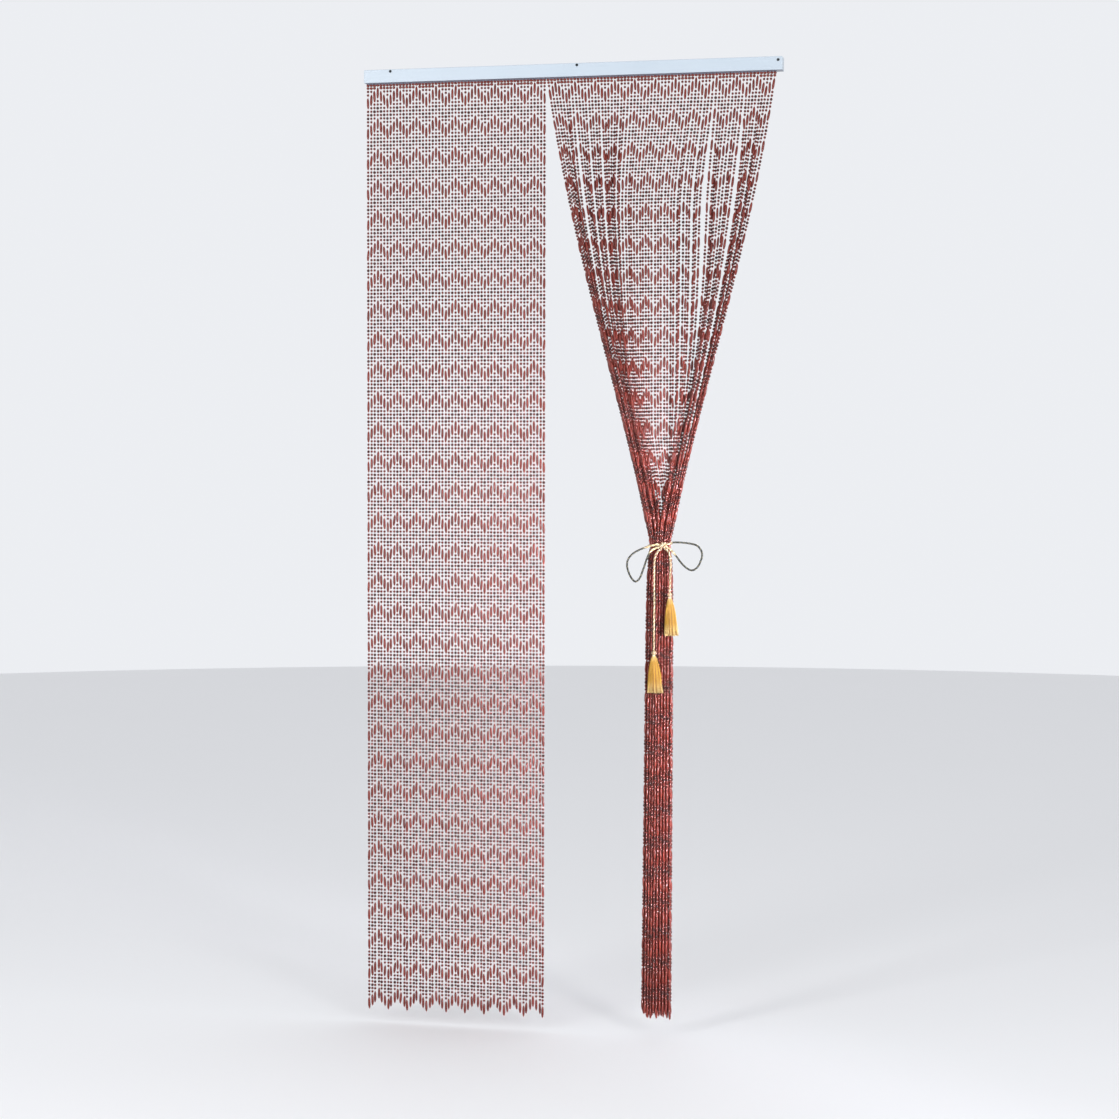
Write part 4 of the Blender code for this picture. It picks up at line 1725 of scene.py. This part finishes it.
@dataclass(frozen=True)
class Tassel:
    """One tassel: a small cord knot, a bound neck and a skirt of silky yarn.

    Attributes:
        name: The solid that it stands for.
        top: The top of its knot.
        hem: The x and y of its hem's middle.
        half_width: Of the hem.
        length: From the knot's top to the hem.
        neck_share: The part of the neck's radius that the yarns fill, and neck_overlap how far
            up inside it they begin.
        swell_power: How soon the skirt swells out of the neck, and swell_neck how suddenly.
        straightness: How much of its outline is a plain cone.
        hem_flare: How far the hem turns out, from flare_start on.
        locks: How many locks the yarns lie in, and lock_bulge how far these stand out.
        lock_drift: How unevenly the locks go round, and how often.
        tufts: How many tufts the hem has, and tuft_drift how unevenly these go round.
        ragged_hem: How far up the shortest yarns end, and ragged_share how much of that is chance.
        wave: How far a yarn wanders, times a value within wave_span, and wave_turns how often.
        yarn_end: The part of its radius that a yarn has left at its foot.
        ring_power: How much closer together a yarn's rings are near the neck.
        tones: The middle tone, how much a lock changes it as painted light and shade, lighter
            where it stands out, and how much chance does.
        knot_turns: The tilt of each turn of the knot, and how far round it leans.
        knot_lift: How far up or down a turn lies.
        core: What fills the knot.
        bindings: How many times the thread goes round the neck.
        wound: The binding thread's radius. It begins wound_gap below the knot, wound_out from the
            neck, and goes out by wound_slope each time round.
        cord_run: How far the tail's cord goes on inside.
    """

    name: str
    top: Vector
    hem: tuple[float, float]
    half_width: float
    length: float
    half_depth: float = 6.6 * MM

    neck_radius: float = 2.3 * MM
    neck_share: float = 0.8
    neck_overlap: float = 0.6 * MM
    swell_power: float = 3.0
    swell_neck: float = 0.85
    straightness: float = 0.25
    hem_flare: float = 0.12
    flare_start: float = 0.72
    locks: int = 13
    lock_bulge: float = 0.1
    lock_drift: tuple[float, int] = (1.3, 3)
    tufts: int = 5
    tuft_drift: tuple[float, int] = (0.8, 2)
    ragged_hem: float = 6.5 * MM
    ragged_share: float = 0.25

    yarns: int = 300
    golden_angle: float = math.radians(137.508)
    yarn_radius: float = 0.42 * MM
    yarn_rings: int = 8
    yarn_sides: int = 4
    yarn_end: float = 0.7
    ring_power: float = 1.1
    wave: float = 0.35 * MM
    wave_span: tuple[float, float] = (0.4, 1.6)
    wave_turns: tuple[float, float] = (9, 7)
    tones: tuple[float, float, float] = (0.55, 0.5, 0.15)
    fibre_repeat: float = 6 * MM

    knot_radius: float = 4.2 * MM
    knot_half_width: float = 5.0 * MM
    knot_cord: TwistedCord = TwistedCord(3.2 * MM, lay=7 * MM, rings_a_turn=8, sides=7)
    knot_turns: tuple[tuple[float, float], ...] = ((0.35, 0.5), (-0.35, -0.6))
    knot_lift: float = 1.3 * MM
    core: Bead = Bead(7.6 * MM, 4.6 * MM, 10, ((0.06, 0.6), (0.3, 1.0), (0.7, 1.0), (0.94, 0.6)))
    ring_points: int = 25
    bindings: int = 4
    wound: float = 0.4 * MM
    wound_sides: int = 6
    wound_gap: float = 0.3 * MM
    wound_out: float = 0.25 * MM
    wound_slope: float = 0.12 * MM
    wound_fibres: float = 8.0
    cord_run: float = 30 * MM

    def widths(self, drop: np.ndarray, hem_width: float) -> np.ndarray:
        """The skirt's half width down its length: it swells out of the neck like a bell.

        Args:
            drop: Shares of the way down to the hem.
            hem_width: The half width at the hem.

        Returns:
            The half widths there.
        """
        swell = (1 - (1 - drop) ** self.swell_power) ** self.swell_neck
        flare = self.hem_flare * (smooth_step(self.flare_start, 1.0, drop) - 1)
        share = swell * (1 - self.straightness) + drop * self.straightness + flare * drop
        neck = self.neck_radius * self.neck_share
        return neck + (hem_width - neck) * share

    def build_skirt(self, silk: bpy.types.Material) -> bpy.types.Object:
        """Hang the yarns from inside the neck to the hem, in a sunflower's order.

        Args:
            silk: The yarn's finish.

        Returns:
            The skirt.
        """
        rng = np.random.default_rng(len(self.name))
        joined = JoinedMesh(self.name + "_skirt")
        layout = Form.from_rings(self.yarn_rings, self.yarn_sides)
        fibre = layout.fibres(self.length / self.fibre_repeat)
        radius = np.full(self.yarn_rings, self.yarn_radius)
        radius[-1] *= self.yarn_end
        drop = np.linspace(0.0, 1.0, self.yarn_rings) ** self.ring_power
        neck_z = -2 * self.knot_radius + self.neck_overlap
        hem = Vector((self.hem[0] - self.top.x, self.hem[1] - self.top.y, 0.0))
        middle_tone, lock_shading, chance_tone = self.tones
        for number in range(self.yarns):
            reach = math.sqrt((number + 0.5) / self.yarns)
            turn = self.golden_angle * number
            side, depth = reach * math.cos(turn), reach * math.sin(turn)
            drift, often = self.lock_drift
            lock = math.cos(self.locks * turn + drift * math.sin(often * turn))
            bulge = 1 + self.lock_bulge * lock * drop
            wide = self.widths(drop, self.half_width - self.yarn_radius) * bulge
            deep = self.widths(drop, self.half_depth - self.yarn_radius)
            drift, often = self.tuft_drift
            notch = 0.5 - 0.5 * math.cos(self.tufts * turn + drift * math.sin(often * turn))
            ragged = (1 - self.ragged_share) * notch**3 + rng.uniform(0, self.ragged_share)
            foot = -self.length + self.ragged_hem * ragged
            phase = rng.uniform(0, FULL_TURN, 2)
            waves = self.wave * drop * rng.uniform(*self.wave_span)
            x = hem.x * drop + side * wide + waves * np.sin(phase[0] + self.wave_turns[0] * drop)
            y = hem.y * drop + depth * deep + waves * np.cos(phase[1] + self.wave_turns[1] * drop)
            z = neck_z + (foot - neck_z) * drop
            line = np.array(self.top) + np.stack([x, y, z], 1)
            frames = turning_frames(line, Vector((1.0, 0.2, 0.0)))
            # A lock's tone follows its bulge: painted light where it stands out, painted shade
            # between locks
            tone = np.clip(middle_tone + lock_shading * lock + rng.normal(0, chance_tone), 0, 1)
            joined.add(layout, tube(line, radius, self.yarn_sides, frames), tone, 0, fibre)
        return joined.build([silk])

    def build_binding(self, yarns: list[bpy.types.Material]) -> bpy.types.Object:
        """The knot above the neck, and the thread wound round the neck.

        Args:
            yarns: The cord's yarns.

        Returns:
            The knot with the winding, as one piece.
        """
        joined = JoinedMesh(self.name + "_knot")
        reach = self.knot_half_width - self.knot_cord.diameter / 2
        middle = np.array(self.top) - (0.0, 0.0, self.knot_radius)
        turns = np.linspace(0.0, FULL_TURN, self.ring_points)
        for tilt, lean in self.knot_turns:
            ring = ellipse(reach, reach, reach * tilt * np.cos(turns + lean), turns)
            lift = np.array([0.0, 0.0, self.knot_lift * np.sign(tilt)])
            self.knot_cord.add_to(joined, middle + lift + ring, PALE_CORD, closed=True)
        core = self.core.form()
        joined.add(core, core.points + middle, 0.6)
        layout = Form.from_rings(self.ring_points, self.wound_sides)
        for loop in range(self.bindings):
            height = -2 * self.knot_radius - self.wound_gap - loop * 2 * self.wound
            radius = self.neck_radius + self.wound_out + self.wound_slope * loop
            line = np.array(self.top) + ellipse(radius, radius, height, turns)
            frames = turning_frames(line, Vector((0.0, 0.0, 1.0)))
            points = tube(line, self.wound, self.wound_sides, frames)
            joined.add(layout, points, 0.8, 0, layout.fibres(self.wound_fibres))
        return joined.build(yarns)


# The loops' and the tails' centrelines outside the knot, in millimetres, as in the solids
ROUTES: dict[str, tuple[tuple[float, float, float], ...]] = {
    "bow_loop_left": (
        (190, -48.2, -997.6),
        (174, -46.5, -1001.8),
        (156, -44.5, -1008.8),
        (142, -43, -1017.2),
        (132.5, -42, -1028.5),
        (130, -42, -1041.5),
        (133, -42, -1055),
        (139.5, -42.5, -1068),
        (148.3, -43, -1075.6),
        (157.5, -43.5, -1068.2),
        (163.5, -44.5, -1053.6),
        (168.3, -45.5, -1040.5),
        (172.8, -46.5, -1027.5),
        (179.5, -47.5, -1013.8),
        (189.5, -48, -1005.2),
    ),
    "bow_loop_right": (
        (228, -47.5, -992.4),
        (245, -46, -992.2),
        (264, -44.5, -994.2),
        (279, -43.5, -998.6),
        (287.6, -43, -1008.6),
        (289.6, -42.5, -1020),
        (286.4, -42.5, -1031.5),
        (281.4, -43, -1041.8),
        (274.2, -43.5, -1048.6),
        (266, -44, -1050.2),
        (256, -45, -1044.6),
        (245.2, -46, -1034),
        (235.6, -47, -1020.8),
        (226, -48.2, -1009.4),
    ),
    "tail_left": (
        (198.2, -47.6, -1009.6),
        (191.6, -46.6, -1019.5),
        (189.2, -46, -1035),
        (188.8, -46, -1075),
        (189.3, -46, -1120),
        (188.8, -46.4, -1170),
        (189, -47.2, -1208),
    ),
    "tail_right": (
        (217.6, -47, -1009.8),
        (222.2, -46.3, -1020),
        (223.6, -46, -1035),
        (223.2, -46, -1060),
        (222.6, -47, -1086),
    ),
}

# Where each of them leaves the knot, in degrees round it, and where a loop comes back to it
LEG_ANGLES: dict[str, tuple[float, ...]] = {
    "bow_loop_left": (172, 208),
    "bow_loop_right": (12, 336),
    "tail_left": (246,),
    "tail_right": (300,),
}


@dataclass(frozen=True)
class KnotTurn:
    """One short turn of cord across the bow's knot.

    Attributes:
        shift: How far it lies to the right, as a share of the knot.
        lean: How far it leans to the right, for each unit of height.
        plies: Its yarns.
    """

    shift: float
    lean: float
    plies: tuple[Ply, Ply, Ply]


@dataclass(frozen=True)
class Tieback:
    """The cord round the bundle: its turn, the bow's knot and loops, the tails and tassels.

    Attributes:
        wrap_rise: How much higher the turn is at its right end.
        knot_radii: The knot's half sizes across, deep and high.
        spacing: How far apart the knot's turns lie, against their shifts.
        knot_swell: How far they stand out past the knot's depth.
        core_share: How much of the knot's width and depth its core fills.
        lead_out: How far a cord goes on straight where it leaves the knot.
        sink: How far it reaches into the knot.
    """

    layout: StringLayout
    cord: TwistedCord = TwistedCord()
    wrap_half_width: float = 24.3 * MM
    wrap_half_depth: float = 21.6 * MM
    wrap_rise: float = 2.4 * MM
    wrap_points: int = 97
    knot_place_mm: tuple[float, float, float] = (207.5, -48.8, -998)
    knot_radii: tuple[float, float, float] = (7.5 * MM, 5.0 * MM, 6.5 * MM)
    knot_turns: tuple[KnotTurn, ...] = (
        KnotTurn(-0.42, 0.5, LIGHT_CORD),
        KnotTurn(0.05, -0.35, PALE_CORD),
        KnotTurn(0.46, 0.3, (Ply.CREAM, Ply.GOLD, Ply.OLIVE)),
    )
    knot_points: int = 33
    spacing: float = 1.15
    knot_swell: float = 0.1 * MM
    core_share: tuple[float, float] = (0.86, 0.62)
    gap: float = 0.3 * MM
    lead_out: float = 3 * MM
    sink: float = 3.5 * MM
    route_step: float = 3 * MM

    @property
    def knot_centre(self) -> Vector:
        """The middle of the bow's knot."""
        return Vector(self.knot_place_mm) * MM

    def tassels(self) -> dict[str, Tassel]:
        """The tassel on each tail."""
        return {
            "tail_left": Tassel(
                "tassel_left",
                Vector((189.0, -48.4, -1220.5)) * MM,
                (192.2 * MM, -50.2 * MM),
                17.0 * MM,
                89 * MM,
            ),
            "tail_right": Tassel(
                "tassel_right",
                Vector((222.5, -48.4, -1098.5)) * MM,
                (226.2 * MM, -50.2 * MM),
                15.0 * MM,
                90 * MM,
            ),
        }

    def knot_exit(self, angle: float) -> tuple[Vector, Vector]:
        """Find where a cord leaves the knot.

        Args:
            angle: In degrees, from the right over the top.

        Returns:
            The point just off the outline, and the way straight out.
        """
        turn = math.radians(angle)
        out = Vector((math.cos(turn), 0.0, math.sin(turn)))
        rim = Vector((self.knot_radii[0] * out.x, 0.0, self.knot_radii[2] * out.z))
        way = Vector((out.x / self.knot_radii[0], 0.0, out.z / self.knot_radii[2])).normalized()
        return self.knot_centre + rim + way * self.gap, way

    def cord_line(self, name: str, tassel: Tassel | None) -> tuple[np.ndarray, Vector]:
        """The smooth line of a loop or a tail.

        Args:
            name: The solid that it follows.
            tassel: The tassel that a tail runs on into.

        Returns:
            The centreline's points, and the point where it leaves the knot.
        """
        middle = [Vector(point) * MM for point in ROUTES[name]]
        angles = LEG_ANGLES[name]
        start, out = self.knot_exit(angles[0])
        points = [start - out * self.sink, start, start + out * self.lead_out, *middle]
        if tassel is None:
            end, back = self.knot_exit(angles[1])
            points += [end + back * self.lead_out, end, end - back * self.sink]
        else:
            down = Vector((0.0, 0.0, -tassel.cord_run))
            points += [tassel.top + Vector((0, 0, self.lead_out)), tassel.top, tassel.top + down]
        return smooth_line(points, self.route_step), start

    def finishes(self) -> list[bpy.types.Material]:
        """Make the cord's yarns. The loops' olive and sand plies are painted shade, which stops
        short of the knot.

        Returns:
            The yarns, in the order of Ply.
        """
        # The painted shade fades out near the knot, where the plies show the cord's own pale
        # colours
        shade_fade = {
            "tip_start": 6.5,
            "tip_length": 2.0,
            "tip_shares": (1.0, 1.0),
            "neck_start": 48.0,
            "neck_share": 1.0,
        }
        return [
            ViscoseYarn("cream_viscose_ply", "#CDBDA4", "#AB9374").build(),
            ViscoseYarn("gold_viscose_ply", "#A07C48", "#6C4C28").build(),
            ViscoseYarn("olive_viscose_ply", "#252B27", "#121513", tips="#CDBD98", **shade_fade).build(),
            ViscoseYarn("sand_viscose_ply", "#6E664E", "#3C3828", tips="#A8874F", **shade_fade).build(),
        ]

    def build_wrap(self, yarns: list[bpy.types.Material]) -> None:
        """Lay the turn of cord round the bundle.

        Args:
            yarns: The cord's yarns.
        """
        turns = np.linspace(0.0, FULL_TURN, self.wrap_points)
        rise = self.wrap_rise * np.cos(turns)
        ring = ellipse(self.wrap_half_width, self.wrap_half_depth, rise, turns)
        middle = np.array([self.layout.bundle_x, self.layout.bundle_y, self.layout.tie_z])
        joined = JoinedMesh("tieback_turn")
        self.cord.add_to(joined, middle + ring, LIGHT_CORD, closed=True)
        hand_over(joined.build(yarns), ("tie_wrap",))

    def build_knot(self, yarns: list[bpy.types.Material]) -> None:
        """Tie the knot: short turns of cord crossing over the loops' legs, round a core.

        Args:
            yarns: The cord's yarns.
        """
        joined = JoinedMesh("tieback_knot")
        turns = np.linspace(0.0, FULL_TURN, self.knot_points)
        wide, deep, high = self.knot_radii
        half = self.cord.diameter / 2
        for turn in self.knot_turns:
            inside = math.sqrt(1 - turn.shift * turn.shift)
            z = (high - half) * inside * np.sin(turns)
            y = (deep - half + self.knot_swell) * inside * np.cos(turns)
            x = turn.shift * (wide - half) * self.spacing + turn.lean * z
            line = np.array(self.knot_centre) + np.stack([x, y, z], 1)
            self.cord.add_to(joined, line, turn.plies, closed=True)
        core_wide, core_deep = self.core_share
        profile = ((0.1, 0.6), (0.3, 1), (0.7, 1), (0.9, 0.6))
        core = Bead(2 * wide * core_wide, 2 * deep * core_deep, 12, profile).form()
        # The core lies across, by exchanging x and z, which turns its faces inside out
        laid = core.points[:, [2, 1, 0]] + np.array(self.knot_centre)
        turned = Form(core.points, core.corners[::-1], core.sizes[::-1], core.chart[::-1])
        joined.add(turned, laid, 0.2, Ply.GOLD.value)
        hand_over(joined.build(yarns), ("bow_knot",))

    def build_legs(self, yarns: list[bpy.types.Material]) -> None:
        """Lay the loops and the tails, each as a twisted cord, with the tails' tassels.

        Args:
            yarns: The cord's yarns.
        """
        tassels = self.tassels()
        silk = ViscoseYarn(
            "golden_tassel_silk",
            "#BC8F24",
            "#784B04",
            fibres_round=5.0,
            fibre_length=2.0,
            roughness=0.55,
            sheen=0.05,
            tone_share=0.8,
            tips="#CDBA88",
        ).build()
        for name in ROUTES:
            tassel = tassels.get(name)
            line, start = self.cord_line(name, tassel)
            joined = JoinedMesh(name + "_cord")
            # The loops take the cord darkened with painted shade
            self.cord.add_to(joined, line, LIGHT_CORD if tassel else SHADED_LOOP_CORD)
            piece = joined.build(yarns)
            hand_over(piece, (name,))
            if tassel:
                skirt = tassel.build_skirt(silk)
                hand_over(skirt, (tassel.name,))
                binding = tassel.build_binding(yarns)
                hand_over(binding)
            float(Path.through(line).travelled[-1])

    def build(self) -> None:
        """Make the turn, the knot, the loops, the tails and the tassels."""
        yarns = self.finishes()
        self.build_wrap(yarns)
        self.build_knot(yarns)
        self.build_legs(yarns)


# ---------------------------------------------------------------- camera, floor and light


@dataclass(frozen=True)
class StripLight:
    """A tall strip of soft light that stands upright and faces the curtain.

    Attributes:
        name: Its name.
        place: Where its middle is.
        size: Its width and height.
        power: In watts.
        target_x: Where on the curtain it is aimed.
        beam: The width of its beam in degrees.
        colour: Of its light.
    """

    name: str
    place: tuple[float, float, float]
    size: tuple[float, float]
    power: float
    target_x: float = 0.0
    beam: float = 180.0
    colour: str = "#FFFFFF"

    def stand(self) -> None:
        """Put the light into the scene."""
        place = Vector(self.place)
        way = Vector((self.target_x, 0.0, place.z)) - place
        data = bpy.data.lights.new(self.name, "AREA")
        data.shape = "RECTANGLE"
        data.size, data.size_y = self.size
        data.energy = self.power
        data.color = to_linear(self.colour)[:3]
        data.spread = math.radians(self.beam)
        light = bpy.data.objects.new(self.name, data)
        light.location = place
        light.rotation_euler = way.to_track_quat("-Z", "Y").to_euler()
        bpy.context.scene.collection.objects.link(light)


@dataclass(frozen=True)
class Studio:
    """A pale floor, soft light and the camera where the photograph was taken.

    Attributes:
        turned_left: The camera's turn in degrees, as tilted_down and rolled are.
        sky_strength: Of the even light from behind.
        front_share: How much of it comes from the front, changing over front_span.
    """

    camera_place: tuple[float, float, float] = (1.0337, -4.9025, -0.8224)
    turned_left: float = 12.18
    tilted_down: float = 2.40
    rolled: float = 0.124
    lens_mm: float = 75.6
    sensor_mm: float = 36.0
    floor_z: float = -2.045
    floor_radius: float = 9.0
    sky_colour: str = "#F4F6FA"
    sky_strength: float = 0.93
    front_share: float = 0.8
    front_span: tuple[float, float] = (-0.3, 0.5)
    lights: tuple[StripLight, ...] = (
        StripLight("key", (-2.2, -3.8, -0.4), (0.9, 2.8), 85.0),
        StripLight("fill", (2.5, -3.2, -0.5), (0.8, 2.8), 72.0),
        StripLight("glow", (2.3, -1.7, -1.3), (0.4, 1.3), 6.2, 0.2, 18.0, "#EEF0FF"),
    )

    def add_camera(self) -> None:
        """Stand the camera where the photograph was taken."""
        data = bpy.data.cameras.new("camera")
        data.lens = self.lens_mm
        data.sensor_width = self.sensor_mm
        data.clip_end = 60.0
        camera = bpy.data.objects.new("camera", data)
        turn = Matrix.Rotation(math.radians(self.turned_left), 4, "Z")
        tilt = Matrix.Rotation(math.radians(90 - self.tilted_down), 4, "X")
        roll = Matrix.Rotation(math.radians(self.rolled), 4, "Z")
        camera.matrix_world = Matrix.Translation(self.camera_place) @ turn @ tilt @ roll
        bpy.context.scene.collection.objects.link(camera)
        bpy.context.scene.camera = camera

    def add_floor(self) -> None:
        """Lay a plain pale floor just below the strings."""
        body = bmesh.new()
        bmesh.ops.create_circle(body, cap_ends=True, segments=96, radius=self.floor_radius)
        bmesh.ops.translate(body, verts=body.verts, vec=(0, 0, self.floor_z))
        mesh = mesh_from(body, "floor")
        mesh.materials.append(PaleFloor().build())
        add_object(mesh)

    def add_world(self) -> None:
        """Surround the scene with even pale light, a little less of it from the front."""
        world = bpy.data.worlds.new("studio")
        nodes = Nodes(world)
        heading = nodes.add("TexCoord", out="Generated")
        depth = nodes.add("SeparateXYZ", (heading,), "Y")
        front = self.sky_strength * self.front_share
        strength = nodes.add("MapRange", (depth, *self.front_span, front, self.sky_strength))
        sky = nodes.add("Background", {"Color": self.sky_colour, "Strength": strength})
        nodes.add("OutputWorld", {"Surface": sky})
        bpy.context.scene.world = world
        bpy.context.scene.view_settings.view_transform = "Standard"

    def build(self) -> None:
        """Set up the camera, the floor and the lights."""
        self.add_camera()
        self.add_floor()
        self.add_world()
        for light in self.lights:
            light.stand()
        log.info("studio set up")


def main() -> None:
    """Load the model and dress every piece of it."""
    logging.basicConfig(level=logging.INFO, format="%(message)s")
    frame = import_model()
    layout = StringLayout()
    Studio().build()
    Tieback(layout).build()
    Rail().build(frame, layout)
    BeadPanels(layout).build()


if __name__ == "__main__":
    main()
